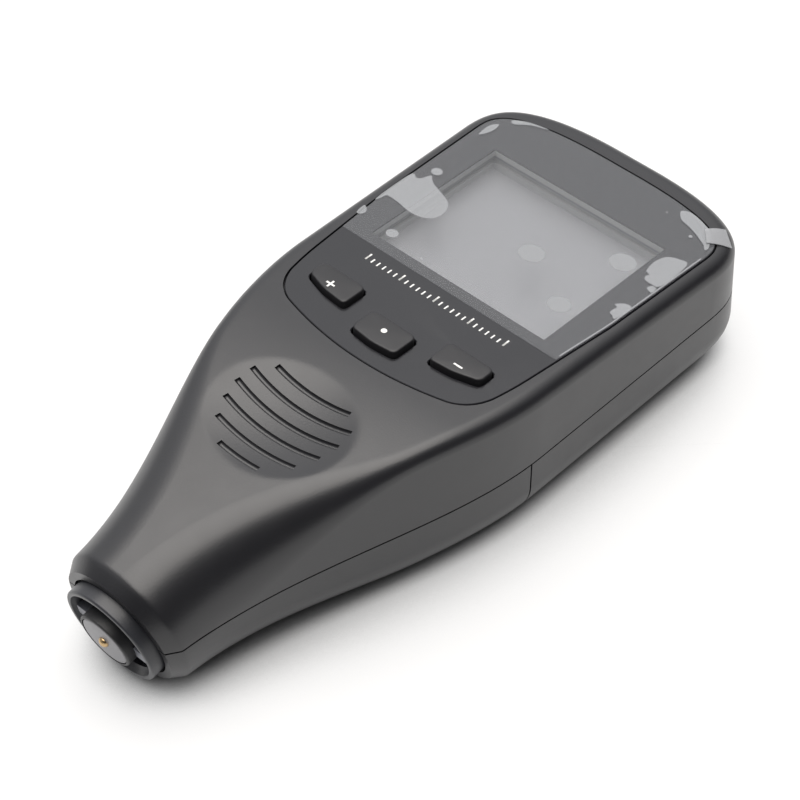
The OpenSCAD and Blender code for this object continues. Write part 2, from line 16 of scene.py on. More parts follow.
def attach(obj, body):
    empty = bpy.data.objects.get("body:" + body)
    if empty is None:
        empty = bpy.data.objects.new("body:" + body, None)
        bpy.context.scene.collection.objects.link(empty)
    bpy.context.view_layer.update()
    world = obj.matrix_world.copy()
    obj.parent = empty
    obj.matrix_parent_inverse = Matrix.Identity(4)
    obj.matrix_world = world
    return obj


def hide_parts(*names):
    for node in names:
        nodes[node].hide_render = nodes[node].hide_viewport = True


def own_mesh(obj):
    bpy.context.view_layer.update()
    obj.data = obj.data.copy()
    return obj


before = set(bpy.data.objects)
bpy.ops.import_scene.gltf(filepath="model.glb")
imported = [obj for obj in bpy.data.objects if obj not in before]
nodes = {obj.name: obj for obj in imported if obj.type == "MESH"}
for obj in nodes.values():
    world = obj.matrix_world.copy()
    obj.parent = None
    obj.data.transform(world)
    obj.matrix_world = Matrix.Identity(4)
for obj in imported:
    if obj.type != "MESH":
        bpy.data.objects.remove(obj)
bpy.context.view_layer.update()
scene = bpy.context.scene
MM = 0.001

# %% [markdown]
# ## Sizes
# The casing is drawn again here with finer curves than the CAD solids need, so the sizes that shape
# it are repeated, in millimetres and degrees. Two frames carry most of the details: the tilted
# display face, and the axis of the probe, which slopes down to its tip.

# %% Name the sizes
body_l = 127.0
body_w = 54.0
neck_d = 23.6
face_h = 27.6
face_tilt = 4.0
parting_h = 13.8
wall = 2.0
roof = 3.0
bottom_r = 8.2
shoulder = 2.6
end_l = 15.0
seam_gap = 0.3
seam_y = 4.0
crest = 1.0

window_w = 36.0
window_l = 30.5
window_y = 15.5
panel_t = 1.2
panel_border = 2.8
panel_gap = 0.25

probe_tilt = 10.0
probe_z = 11.3
collar_d = 17.8
collar_bore = 14.6
collar_reach = 2.2
barrel_d = 10.0
probe_reach = 1.1
seat_depth = 9.0
chamber_depth = 24.8
nose_l = 2.2
nose_d = collar_d + 3.0
print("window of", window_w, "x", window_l, "mm, collar of", collar_d, "mm")

# %% Work out the frames
end_y = body_l / 2
wide_y = end_y - end_l
tilt = math.radians(probe_tilt)
tip_y = -end_y + (collar_reach + probe_reach) * math.cos(tilt) + barrel_d / 2 * math.sin(tilt)
# Along Y: where the neck has widened to the head, where its section has turned into a box, and where
# its curved top meets the display face.
neck_end = window_y - 9.0
blend_y = window_y - 32.0
crown_y = window_y - 23.5

face_turn = Matrix.Rotation(-math.radians(face_tilt), 4, "X")
face_frame = Matrix.Translation((0, window_y, face_h)) @ face_turn
probe_turn = Matrix.Rotation(tilt - math.pi / 2, 4, "X")
probe_frame = Matrix.Translation((0, tip_y, probe_z)) @ probe_turn
print("casing", body_l, "x", body_w, "mm, nose at", round(tip_y, 2))

# %% [markdown]
# ## Camera
# The photograph looks down on the gauge from its front right with a long lens. Its direction and
# distance were fitted to the corners of the window, so the camera is placed by one known point:
# the middle of the window's near edge, which lands right of and above the middle of the frame.

# %% Place the camera
AZIMUTH = math.radians(42.2)
ELEVATION = math.radians(46.9)
FOCAL_PX = 2500.0
FRAME_PX = 800.0
WINDOW_PX_RIGHT = 56.6
WINDOW_PX_ABOVE = 115.3
WINDOW_DEPTH = 395.0 * MM

back = Vector((
    math.sin(AZIMUTH) * math.cos(ELEVATION),
    -math.cos(AZIMUTH) * math.cos(ELEVATION),
    math.sin(ELEVATION),
))
right = Vector((math.cos(AZIMUTH), math.sin(AZIMUTH), 0.0))
above = back.cross(right)
window_right = WINDOW_PX_RIGHT / FOCAL_PX * WINDOW_DEPTH
window_above = WINDOW_PX_ABOVE / FOCAL_PX * WINDOW_DEPTH
window_middle = Vector((0.0, window_y, face_h)) * MM

camera_data = bpy.data.cameras.new("camera")
camera_data.sensor_width = 36.0
camera_data.lens = FOCAL_PX / FRAME_PX * camera_data.sensor_width
camera_data.clip_start = 0.01
camera_data.clip_end = 60.0
camera = bpy.data.objects.new("camera", camera_data)
camera.location = window_middle + back * WINDOW_DEPTH - right * window_right - above * window_above
camera.rotation_euler = Matrix((right, above, back)).transposed().to_euler()
scene.collection.objects.link(camera)
scene.camera = camera
scene.view_settings.view_transform = "Standard"
print("camera at", [round(v, 4) for v in camera.location])

# %% [markdown]
# ## Light
# A dark product like this is shaped by what it reflects. The photograph shows one large soft light
# overhead, which draws the ridge along the neck, and a tent that is bright above and to the left
# and dims to the right, where the flank of the neck goes dark. So there is one softbox, and a world
# whose strength follows the direction. Two helpers come first: one adds a node, the other turns an
# sRGB hex value into the linear colour that a shader takes.

# %% Add nodes and colours
def add(tree, kind, settings=None, links=None):
    """Add a node, set its sockets or properties by name, and link its inputs."""
    made = tree.nodes.new(kind)
    for key, value in (settings or {}).items():
        if isinstance(key, int) or key in made.inputs:
            made.inputs[key].default_value = value
        else:
            setattr(made, key, value)
    for key, source in (links or {}).items():
        tree.links.new(source, made.inputs[key])
    return made


def linear(hex_colour, alpha=1.0):
    """Linear colour of an sRGB hex value such as #2b2b2e."""
    parts = [int(hex_colour[i:i + 2], 16) / 255.0 for i in (1, 3, 5)]
    parts = [c / 12.92 if c <= 0.04045 else ((c + 0.055) / 1.055) ** 2.4 for c in parts]
    return (*parts, alpha)


print("charcoal in linear light:", [round(v, 3) for v in linear("#2b2b2e")[:3]])

# %% Raise the light tent
BRIGHT_SIDE = (-0.5, 0.3, 0.81)
TENT_LEVELS = {"From Min": 0.25, "From Max": 0.95, "To Min": 0.06, "To Max": 1.2}
world = bpy.data.worlds.new("light_tent")
scene.world = world
world.use_nodes = True
sky = world.node_tree
sky.nodes.clear()
direction = add(sky, "ShaderNodeTexCoord").outputs["Generated"]
towards = add(sky, "ShaderNodeVectorMath", {"operation": "DOT_PRODUCT", 1: BRIGHT_SIDE}, {0: direction})
level = add(sky, "ShaderNodeMapRange", TENT_LEVELS, {"Value": towards.outputs["Value"]})
tent = add(sky, "ShaderNodeBackground", {"Color": linear("#f7f8fa")}, {"Strength": level.outputs[0]})
add(sky, "ShaderNodeOutputWorld", None, {"Surface": tent.outputs[0]})
print("tent strength from", TENT_LEVELS["To Min"], "to", TENT_LEVELS["To Max"])

# %% Hang the softbox
LAMP_PLACE = Vector((-40, 15, 480)) * MM
LAMP_TARGET = Vector((0, 0, 10)) * MM
LAMP_SIDE = 520 * MM
LAMP_WATTS = 3.0
lamp = bpy.data.lights.new("top_softbox", "AREA")
lamp.shape = "SQUARE"
lamp.size = LAMP_SIDE
lamp.energy = LAMP_WATTS
lamp.color = linear("#fffaf4")[:3]
softbox = bpy.data.objects.new("top_softbox", lamp)
softbox.location = LAMP_PLACE
softbox.rotation_euler = (LAMP_TARGET - LAMP_PLACE).to_track_quat("-Z", "Y").to_euler()
scene.collection.objects.link(softbox)
print("softbox", round(LAMP_SIDE, 2), "m wide at", [round(v, 3) for v in LAMP_PLACE])

# %% [markdown]
# ## Floor
# The gauge lies on a sheet of white paper. Paper that only reflects would go grey under a light this
# plain, so a part of it glows with a strength of 1, which is white. An Ambient Occlusion node
# measures how far the object closes in a point of the sheet, and the glow fades there. That fade is
# painted shade, which keeps the soft shadow under and beside the casing.

# %% Lay the floor
FLOOR_HALF = 15.0
SHADOW_REACH = 30 * MM
SHADOW_LEVELS = {"From Min": 0.3, "From Max": 0.66, "To Min": 0.0, "To Max": 1.0}
GLOW_SHARE = 0.62
corners = [(-FLOOR_HALF, -FLOOR_HALF), (FLOOR_HALF, -FLOOR_HALF),
           (FLOOR_HALF, FLOOR_HALF), (-FLOOR_HALF, FLOOR_HALF)]
floor_mesh = bpy.data.meshes.new("floor")
floor_mesh.from_pydata([(x, y, 0.0) for x, y in corners], [], [(0, 1, 2, 3)])
floor = bpy.data.objects.new("floor", floor_mesh)
scene.collection.objects.link(floor)

paper = bpy.data.materials.new("white_paper")
paper.use_nodes = True
tree = paper.node_tree
tree.nodes.clear()
sheet = add(tree, "ShaderNodeBsdfDiffuse", {"Color": linear("#f2f2f2")})
openness = add(tree, "ShaderNodeAmbientOcclusion", {"samples": 16, "Distance": SHADOW_REACH})
# Painted shade: the glow fades where the casing closes the sheet in.
white = add(tree, "ShaderNodeMapRange", SHADOW_LEVELS, {"Value": openness.outputs["AO"]})
glow = add(tree, "ShaderNodeEmission", {"Color": linear("#ffffff")}, {"Strength": white.outputs[0]})
both = add(tree, "ShaderNodeMixShader", {0: GLOW_SHARE}, {1: sheet.outputs[0], 2: glow.outputs[0]})
add(tree, "ShaderNodeOutputMaterial", None, {"Surface": both.outputs[0]})
floor_mesh.materials.append(paper)
print("floor of", 2 * FLOOR_HALF, "m")

# %% [markdown]
# ## Moulded plastics
# Most of the gauge is injection-moulded ABS. A steel mould is spark eroded or polished, and the
# plastic copies it, so the finish is a fine grain that breaks up the gloss, with slightly uneven
# roughness where hands touch it. One function covers the family: the colour, the gloss and the
# size of the grain tell one moulding from the next.

# %% Start a material
def scale_for(size_mm):
    """Texture scale, on object coordinates in metres, that repeats about once in this size."""
    return 1.0 / (size_mm * MM)


def start_material(name):
    """Empty material with a Principled shader; returns material, tree, shader and coordinates."""
    made = bpy.data.materials.new(name)
    made.use_nodes = True
    tree = made.node_tree
    tree.nodes.clear()
    shader = add(tree, "ShaderNodeBsdfPrincipled")
    add(tree, "ShaderNodeOutputMaterial", None, {"Surface": shader.outputs[0]})
    place = add(tree, "ShaderNodeTexCoord").outputs["Object"]
    return made, tree, shader, place


def uneven_gloss(tree, shader, place, gloss, patch_mm, detail):
    """Let the roughness drift between two values in patches of a size; returns the drift."""
    drift = add(tree, "ShaderNodeTexNoise", {"Scale": scale_for(patch_mm), "Detail": detail},
                {"Vector": place})
    rough = add(tree, "ShaderNodeMapRange", {"To Min": gloss[0], "To Max": gloss[1]},
                {"Value": drift.outputs["Fac"]})
    tree.links.new(rough.outputs[0], shader.inputs["Roughness"])
    return drift.outputs["Fac"]


print("a 0.35 mm grain has the scale", round(scale_for(0.35)))

# %% Moulded plastic
TINT_MM = 9.0
HANDLED_MM = 3.5


def moulded(name, dark, light, gloss, grain_mm, grain_depth, ior=1.5):
    """Moulded plastic: colour between two hexes, roughness between two values, and a fine grain."""
    made, tree, shader, place = start_material(name)
    shader.inputs["IOR"].default_value = ior
    drift = add(tree, "ShaderNodeTexNoise", {"Scale": scale_for(TINT_MM), "Detail": 3.0},
                {"Vector": place})
    tint = add(tree, "ShaderNodeMix", {"data_type": "RGBA", 6: linear(dark), 7: linear(light)},
               {0: drift.outputs["Fac"]})
    tree.links.new(tint.outputs[2], shader.inputs["Base Color"])
    uneven_gloss(tree, shader, place, gloss, HANDLED_MM, 4.0)
    grain = add(tree, "ShaderNodeTexNoise", {"Scale": scale_for(grain_mm), "Detail": 2.0},
                {"Vector": place})
    bump = add(tree, "ShaderNodeBump", {"Strength": 1.0, "Distance": grain_depth * MM},
               {"Height": grain.outputs["Fac"]})
    tree.links.new(bump.outputs[0], shader.inputs["Normal"])
    return made


# The real grain is about 0.1 mm wide. That is too fine to show in the render, so it is drawn about
# three times as coarse.
# ABS from a spark-eroded mould: near black, with a broad soft highlight along every curve.
casing_abs = moulded("satin_moulded_abs", "#1a1a1d", "#1f1f23", (0.29, 0.38), 0.35, 0.012, 1.6)
# The same plastic in grey from a smoother mould: the ring stands out from the neck, with a fine lip.
collar_abs = moulded("grey_moulded_abs", "#2c2d31", "#35363b", (0.3, 0.4), 0.3, 0.008)
# ABS keys from a coarser mould: duller than the glossy sheet round them.
key_abs = moulded("key_moulded_abs", "#1d1d20", "#232326", (0.4, 0.5), 0.3, 0.01)
# Pale ABS round the display: matt, so that it shades softly in the depth of the window.
# The same finish, put on the dark walls round the window, is painted light.
pale_abs_and_painted_wall_light = moulded("pale_moulded_abs_and_painted_light", "#a9abad", "#b5b7b8", (0.4, 0.5), 0.35, 0.01)
# Moulded nylon plunger: dark and dull, so the pale face in it stands out.
barrel_nylon = moulded("dark_moulded_nylon", "#232325", "#2b2b2d", (0.4, 0.5), 0.3, 0.01)
# Turned acetal guide: a waxy mid grey that shows as two short ribs in the dark gap.
guide_acetal = moulded("grey_acetal", "#74767d", "#80828a", (0.35, 0.45), 0.4, 0.01)
# Ground resin face of the probe: pale grey, with a low sheen.
face_resin = moulded("pale_probe_resin", "#6f6e72", "#7b7a7e", (0.25, 0.35), 0.4, 0.006)
# Cast opal acrylic behind the display: milky, and nearly as smooth as glass.
diffuser_pmma = moulded("opal_acrylic", "#e2e3df", "#eceded", (0.3, 0.35), 0.5, 0.004)
# Small switches and the chip's epoxy body: black and dull.
switch_nylon = moulded("black_nylon", "#1b1b1d", "#222224", (0.45, 0.55), 0.3, 0.01)
chip_epoxy = moulded("black_epoxy", "#19191b", "#202022", (0.5, 0.6), 0.12, 0.01)
# Pad-printed ink: white, matt and a little uneven.
ink_white = moulded("white_pad_print", "#dededc", "#e6e6e4", (0.5, 0.6), 0.2, 0.004)
print("plastics:", [m.name for m in bpy.data.materials if "moulded" in m.name])

# %% [markdown]
# ## Faceplate, window and film
# The faceplate is a thin polycarbonate sheet, printed dark on its back, so its front is smoother and
# glossier than the casing and shows dust. Over its upper part lies the clear film that protects it
# until it is sold. Where air is caught under the film, the two faces of plastic scatter light and
# the bubble looks pale; that light is painted on as a pale patch. Alpha serves for the clear
# plastics here: they are so thin that light hardly bends in them, and the display behind stays crisp.

# %% Printed sheet
POLYCARBONATE_IOR = 1.58
DUST_MM = 3.2
SPECK_SIZE = 0.035
SPECK_RARITY = 0.72


def printed_sheet(name, colour, gloss, dust_hex):
    """Glossy printed polycarbonate with a few specks of dust on it."""
    made, tree, shader, place = start_material(name)
    shader.inputs["IOR"].default_value = POLYCARBONATE_IOR
    cells = add(tree, "ShaderNodeTexVoronoi", {"Scale": scale_for(DUST_MM), "Randomness": 1.0},
                {"Vector": place})
    speck = add(tree, "ShaderNodeMath", {"operation": "LESS_THAN", 1: SPECK_SIZE},
                {0: cells.outputs["Distance"]})
    draw = add(tree, "ShaderNodeSeparateColor", None, {0: cells.outputs["Color"]})
    chosen = add(tree, "ShaderNodeMath", {"operation": "GREATER_THAN", 1: SPECK_RARITY},
                 {0: draw.outputs[0]})
    dusty = add(tree, "ShaderNodeMath", {"operation": "MULTIPLY"},
                {0: speck.outputs[0], 1: chosen.outputs[0]})
    tint = add(tree, "ShaderNodeMix", {"data_type": "RGBA", 6: linear(colour), 7: linear(dust_hex)},
               {0: dusty.outputs[0]})
    tree.links.new(tint.outputs[2], shader.inputs["Base Color"])
    uneven_gloss(tree, shader, place, gloss, 6.0, 3.0)
    return made


# Printed polycarbonate: a clean gloss over near black, with fine pale dust.
panel_pc = printed_sheet("printed_polycarbonate", "#1c1c20", (0.16, 0.24), "#b9b9bb")
print("sheet:", panel_pc.name)

# %% Clear plastics
CLEAR_ALPHA = 0.06
SAWN_NORMAL = 0.6


def clear_sheet(name, colour, alpha, gloss, ripple_mm, ripple_depth):
    """Clear plastic that lets most light through, with slow ripples on its surface."""
    made, tree, shader, place = start_material(name)
    shader.inputs["Base Color"].default_value = linear(colour)
    shader.inputs["Alpha"].default_value = alpha
    shader.inputs["IOR"].default_value = 1.5
    ripple = uneven_gloss(tree, shader, place, gloss, ripple_mm, 1.0)
    bump = add(tree, "ShaderNodeBump", {"Strength": 1.0, "Distance": ripple_depth * MM}, {"Height": ripple})
    tree.links.new(bump.outputs[0], shader.inputs["Normal"])
    return made


def clear_pane():
    """Clear polycarbonate pane: see-through along Z, with sawn edges that scatter and look pale."""
    made, tree, shader, place = start_material("clear_polycarbonate")
    shader.inputs["IOR"].default_value = POLYCARBONATE_IOR
    normal = add(tree, "ShaderNodeNewGeometry").outputs["Normal"]
    facing = add(tree, "ShaderNodeSeparateXYZ", None, {0: normal})
    upright = add(tree, "ShaderNodeMath", {"operation": "ABSOLUTE"}, {0: facing.outputs["Z"]})
    sawn = add(tree, "ShaderNodeMath", {"operation": "LESS_THAN", 1: SAWN_NORMAL}, {0: upright.outputs[0]})
    alpha = add(tree, "ShaderNodeMapRange", {"To Min": CLEAR_ALPHA, "To Max": 1.0},
                {"Value": sawn.outputs[0]})
    tree.links.new(alpha.outputs[0], shader.inputs["Alpha"])
    haze = uneven_gloss(tree, shader, place, (0.05, 0.1), 4.0, 2.0)
    tint = add(tree, "ShaderNodeMix", {"data_type": "RGBA", 6: linear("#a3a5aa"), 7: linear("#b0b2b6")},
               {0: haze})
    tree.links.new(tint.outputs[2], shader.inputs["Base Color"])
    return made


# Polycarbonate pane: a faint reflection over the display, and a pale line where it was sawn.
lens_pc = clear_pane()
# Polyethylene film: a thin veil that greys the dark sheet a little and ripples its gloss.
film_pe = clear_sheet("clear_film", "#c9ccd1", CLEAR_ALPHA, (0.1, 0.2), 7.0, 0.03)
# The same film with air under it, and folded into the tab: paler, because more faces scatter.
# The bubbles' pale finish is a painted reflection of their extra faces of plastic.
bubble_painted_reflection = clear_sheet("lifted_film_painted_reflection", "#b6b9bd", 0.28, (0.22, 0.32), 3.0, 0.03)
film_fold = clear_sheet("folded_film", "#b0b2b6", 0.5, (0.2, 0.3), 3.0, 0.03)
print("clear plastics:", lens_pc.name, film_pe.name, bubble_painted_reflection.name, film_fold.name)

# %% [markdown]
# ## Metals
# The measuring tip is turned brass, the springs are drawn steel wire and the contacts are plated
# steel. Bare metal takes its colour from its reflections, so these have a full metallic value, and
# fine marks from the tool or the die vary the roughness.

# %% Metals
def metal(name, colour, gloss, mark_mm, mark_depth):
    """Plain metal with fine marks from drawing or turning."""
    made, tree, shader, place = start_material(name)
    shader.inputs["Base Color"].default_value = linear(colour)
    shader.inputs["Metallic"].default_value = 1.0
    marks = uneven_gloss(tree, shader, place, gloss, mark_mm, 4.0)
    bump = add(tree, "ShaderNodeBump", {"Strength": 1.0, "Distance": mark_depth * MM}, {"Height": marks})
    tree.links.new(bump.outputs[0], shader.inputs["Normal"])
    return made


# Turned brass: one warm glint in the middle of the probe's face.
brass = metal("turned_brass", "#c2a67c", (0.24, 0.38), 0.1, 0.004)
# Drawn spring wire: bright, with a thin highlight on each turn.
spring_steel = metal("drawn_spring_steel", "#b7babd", (0.22, 0.34), 0.15, 0.004)
# Nickel-plated sheet and screws: bright and slightly cloudy.
plated_steel = metal("nickel_plated_steel", "#c6c8ca", (0.2, 0.34), 0.4, 0.004)
# Annealed iron core: dark grey and dull.
soft_iron = metal("soft_iron", "#5a5b5e", (0.35, 0.5), 0.2, 0.006)
print("metals:", brass.name, spring_steel.name, plated_steel.name, soft_iron.name)

# %% [markdown]
# ## Display, board, cells and coil
# These pieces sit deep in the window or inside the casing. Each has one feature that tells what it
# is: the display's grid, the board's tracks, the bare ends of the cells' sleeves and the turns of
# the coil. Brick and Wave textures draw the regular ones, and a normal tells a cell's end from
# its side.

# %% Display glass and board
DOT_MM = 0.6
TRACK_MM = 4.0


def display_glass():
    """Blank liquid crystal cell: a grey polariser with a faint grid of dots behind glass."""
    made, tree, shader, place = start_material("display_polariser")
    shader.inputs["IOR"].default_value = 1.52
    grid = add(tree, "ShaderNodeTexBrick", {
        "Scale": scale_for(DOT_MM), "Mortar Size": 0.04, "Brick Width": 1.0, "Row Height": 1.0,
        "offset": 0.0, "Color1": linear("#909297"), "Color2": linear("#929499"),
        "Mortar": linear("#888a90")}, {"Vector": place})
    tree.links.new(grid.outputs["Color"], shader.inputs["Base Color"])
    uneven_gloss(tree, shader, place, (0.28, 0.36), 5.0, 2.0)
    return made


def board_laminate():
    """Green solder mask with the copper tracks showing as paler stripes under it."""
    made, tree, shader, place = start_material("solder_mask")
    shader.inputs["Roughness"].default_value = 0.35
    tracks = add(tree, "ShaderNodeTexBrick", {
        "Scale": scale_for(TRACK_MM), "Mortar Size": 0.03, "Brick Width": 0.9, "Row Height": 0.35,
        "offset": 0.5, "Color1": linear("#1f5a38"), "Color2": linear("#245f3c"),
        "Mortar": linear("#3d7d52")}, {"Vector": place})
    tree.links.new(tracks.outputs["Color"], shader.inputs["Base Color"])
    bump = add(tree, "ShaderNodeBump", {"Strength": 1.0, "Distance": 0.03 * MM},
               {"Height": tracks.outputs["Fac"]})
    tree.links.new(bump.outputs[0], shader.inputs["Normal"])
    return made


# Polariser under glass: an even cool grey. Its real dots are half as wide, and too fine to show.
lcd_glass = display_glass()
# Solder mask over copper: a soft green gloss with raised, paler lines.
laminate = board_laminate()
print("display and board:", lcd_glass.name, laminate.name)

# %% Cells and coil
WIRE_MM = 0.2
# A Wave texture multiplies its coordinates by this before it draws its bands.
WAVE_FACTOR = 20.0
BARE_NORMAL = 0.8


def cell_wrap():
    """Shrink sleeve on a steel can: the flat ends, which face along Y, stay bare steel."""
    made, tree, shader, place = start_material("battery_sleeve")
    normal = add(tree, "ShaderNodeNewGeometry").outputs["Normal"]
    facing = add(tree, "ShaderNodeSeparateXYZ", None, {0: normal})
    along = add(tree, "ShaderNodeMath", {"operation": "ABSOLUTE"}, {0: facing.outputs["Y"]})
    bare = add(tree, "ShaderNodeMath", {"operation": "GREATER_THAN", 1: BARE_NORMAL}, {0: along.outputs[0]})
    sheen = uneven_gloss(tree, shader, place, (0.25, 0.35), 6.0, 3.0)
    film = add(tree, "ShaderNodeMix", {"data_type": "RGBA", 6: linear("#3f4a55"), 7: linear("#475360")},
               {0: sheen})
    tint = add(tree, "ShaderNodeMix", {"data_type": "RGBA", 7: linear("#b9bcc0")},
               {0: bare.outputs[0], 6: film.outputs[2]})
    tree.links.new(tint.outputs[2], shader.inputs["Base Color"])
    tree.links.new(bare.outputs[0], shader.inputs["Metallic"])
    return made


def copper_winding():
    """Enamelled copper wire wound in a coil: fine rings along the axis of the probe, with painted shade
    between the turns.
    """
    made, tree, shader, place = start_material("enamelled_copper")
    shader.inputs["Metallic"].default_value = 1.0
    shader.inputs["Roughness"].default_value = 0.32
    on_axis = add(tree, "ShaderNodeMapping", {"Rotation": (tilt, 0.0, 0.0)}, {"Vector": place})
    bands = scale_for(WIRE_MM) / WAVE_FACTOR
    turns = add(tree, "ShaderNodeTexWave", {"bands_direction": "Y", "Scale": bands},
                {"Vector": on_axis.outputs[0]})
    # Painted shade: the darker copper marks the creases between the turns.
    tint = add(tree, "ShaderNodeMix", {"data_type": "RGBA", 6: linear("#6f3d16"), 7: linear("#b06c30")},
               {0: turns.outputs["Fac"]})
    tree.links.new(tint.outputs[2], shader.inputs["Base Color"])
    return made


# Shrink sleeve: slate grey with a plastic sheen, and bright steel ends.
sleeve = cell_wrap()
# Enamelled wire: warm copper, with painted shade between the turns.
winding = copper_winding()
print("materials:", len(bpy.data.materials))

# %% [markdown]
# ## Mesh helpers
# Every piece is drawn in millimetres, in the frame where its drawing is simplest, and then moved to
# its place in metres. A skin runs through equal rings of points, a prism lifts an outline, and a
# turned piece spins a profile. Cuts are booleans, applied at once so that plain meshes are left.

# %% Solids from rings of points
WELD = 0.0005 * MM


def solid(name, points, faces, place=None):
    """Closed mesh from points in millimetres, welded, with its faces turned outwards."""
    place = place or Matrix()
    mesh = bpy.data.meshes.new(name)
    mesh.from_pydata([(place @ Vector(p)) * MM for p in points], [], faces)
    shell = bmesh.new()
    shell.from_mesh(mesh)
    bmesh.ops.remove_doubles(shell, verts=shell.verts, dist=WELD)
    bmesh.ops.recalc_face_normals(shell, faces=shell.faces)
    shell.to_mesh(mesh)
    shell.free()
    made = bpy.data.objects.new(name, mesh)
    scene.collection.objects.link(made)
    return made


def ring_faces(rings, size):
    """Quads between neighbouring closed rings of equal size."""
    return [
        (r * size + k, r * size + (k + 1) % size, (r + 1) * size + (k + 1) % size, (r + 1) * size + k)
        for r in range(rings - 1) for k in range(size)
    ]


def skin(name, rings, place=None):
    """Solid through equal closed rings, with a flat face on each end."""
    size = len(rings[0])
    last = (len(rings) - 1) * size
    faces = ring_faces(len(rings), size)
    faces.append(tuple(range(size)))
    faces.append(tuple(last + k for k in range(size)))
    return solid(name, [p for ring in rings for p in ring], faces, place)


def stacked(name, levels, place):
    """Skin through outlines in the XY plane, each at its own height."""
    return skin(name, [[(x, y, z) for x, y in outline] for outline, z in levels], place)


print("two rings of four give", len(ring_faces(2, 4)), "faces")

# %% Prisms, blocks and turned pieces
def prism(name, outline, z0, z1, place=None):
    """Outline in the XY plane, lifted from z0 to z1."""
    return stacked(name, [(outline, z0), (outline, z1)], place)


def box(name, x0, x1, y0, y1, z0, z1, place=None):
    """Block between two corners."""
    return prism(name, [(x0, y0), (x1, y0), (x1, y1), (x0, y1)], z0, z1, place)


def turned(name, profile, place=None, steps=96):
    """Closed profile of (radius, height) points, spun about Z."""
    angles = [2 * math.pi * s / steps for s in range(steps + 1)]
    points = [(r * math.cos(a), r * math.sin(a), z) for a in angles for r, z in profile]
    return solid(name, points, ring_faces(steps + 1, len(profile)), place)


def round_rod(name, d, z0, z1, place=None, steps=96):
    """Cylinder between two heights."""
    return turned(name, [(0, z0), (d / 2, z0), (d / 2, z1), (0, z1)], place, steps)


print("a turned profile of 4 points has", len(ring_faces(97, 4)), "faces")

# %% Apply, cut, copy and join
def settle(piece):
    """Apply every modifier, so that a plain mesh is left."""
    bpy.context.view_layer.update()
    seen_by = bpy.context.evaluated_depsgraph_get()
    mesh = bpy.data.meshes.new_from_object(piece.evaluated_get(seen_by))
    piece.modifiers.clear()
    piece.data = mesh
    return piece


def carve(piece, tools, operation="DIFFERENCE"):
    """Combine a piece with its tools, and throw the tools away."""
    for tool in tools:
        step = piece.modifiers.new("carve", "BOOLEAN")
        step.operation = operation
        step.solver = "MANIFOLD"
        step.object = tool
    settle(piece)
    for tool in tools:
        bpy.data.objects.remove(tool)
    return piece


def copied(piece, name):
    """Copy of a piece with its own mesh."""
    made = bpy.data.objects.new(name, piece.data.copy())
    scene.collection.objects.link(made)
    return made


def joined(name, pieces):
    """One object from the meshes of several, which are thrown away."""
    shell = bmesh.new()
    for piece in pieces:
        shell.from_mesh(piece.data)
        bpy.data.objects.remove(piece)
    made = bpy.data.objects.new(name, bpy.data.meshes.new(name))
    shell.to_mesh(made.data)
    shell.free()
    scene.collection.objects.link(made)
    return made


# %% Dress a piece
def dress(piece, material, body, replaced=(), crease=30.0):
    """Smooth shading with creased edges, material, and the CAD body and nodes it stands for."""
    piece.data.materials.clear()
    piece.data.materials.append(material)
    for face in piece.data.polygons:
        face.material_index = 0
    piece.data.shade_smooth()
    piece.data.set_sharp_from_angle(angle=math.radians(crease))
    if replaced:
        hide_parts(*replaced)
    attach(piece, body)
    print(piece.name, "on", body, "with", len(piece.data.polygons), "faces")
    return piece


def refinish(finishes):
    """Give CAD nodes, which keep their solids, their materials."""
    for name, material in finishes.items():
        nodes[name].data.materials.clear()
        nodes[name].data.materials.append(material)
    print("refinished:", ", ".join(finishes))


print("CAD nodes to dress:", len(nodes))

# %% [markdown]
# ## The casing's form
# The casing is a loft. Its plan runs from the round nose, through an eased curve, to the wide
# head with a superellipse end. Its section blends from almost round at the nose to a box with
# small shoulders under the display. Subdivision could round a coarse cage instead, but formulas keep
# the skin on the CAD solid's own curves.

# %% Plan of the casing
HEAD_TAPER = 0.026
END_POWER = 2.9
END_SWEEP = math.radians(85)
END_DRAFT = math.radians(4.7)


def mix(a, b, t):
    """Value between a and b."""
    return a + (b - a) * t


def ease(u):
    """Smooth step from 0 to 1."""
    c = min(max(u, 0.0), 1.0)
    return c * c * (3 - 2 * c)


def half_w(y):
    """Half width of the casing in plan."""
    head = body_w / 2 - HEAD_TAPER * max(0.0, wide_y - y)
    return mix(neck_d / 2, head, ease((y - tip_y) / (neck_end - tip_y)))


def end_point(angle, inset=0.0, extra=0.0):
    """Point on the rounded display end, at an angle from the side."""
    power = 2 / END_POWER
    x = (body_w / 2 - inset) * math.cos(angle) ** power
    return x, wide_y + (end_l - inset - extra) * (math.sin(angle) / math.sin(END_SWEEP)) ** power


def plan_half(y0, sides, ends):
    """Right half of the plan, from the nose to the middle of the display end."""
    lengths = [mix(y0, wide_y, i / sides) for i in range(sides + 1)]
    return [(half_w(y), y) for y in lengths] + [end_point(END_SWEEP * i / ends) for i in range(1, ends + 1)]


print("half widths:", [round(half_w(y), 2) for y in (-50, -25, 0, 25, 48)])

# %% Section of the casing
def roundness(y):
    """1 at the nose, where the section is round, and 0 under the display."""
    return 1 - ease((y - tip_y) / (blend_y - tip_y))


def top_z(y):
    """Height of the top: the sloping display face, then one cubic curve down to the nose."""
    slope = math.tan(math.radians(face_tilt))
    if y >= crown_y:
        return face_h - (y - window_y) * slope
    run = crown_y - tip_y
    u = (crown_y - y) / run
    crown = face_h - (crown_y - window_y) * slope
    return (crown * (2 * u**3 - 3 * u**2 + 1) + run * slope * (u**3 - 2 * u**2 + u)
            + (probe_z + neck_d / 2) * (3 * u**2 - 2 * u**3) - run * math.tan(tilt) * (u**3 - u**2))


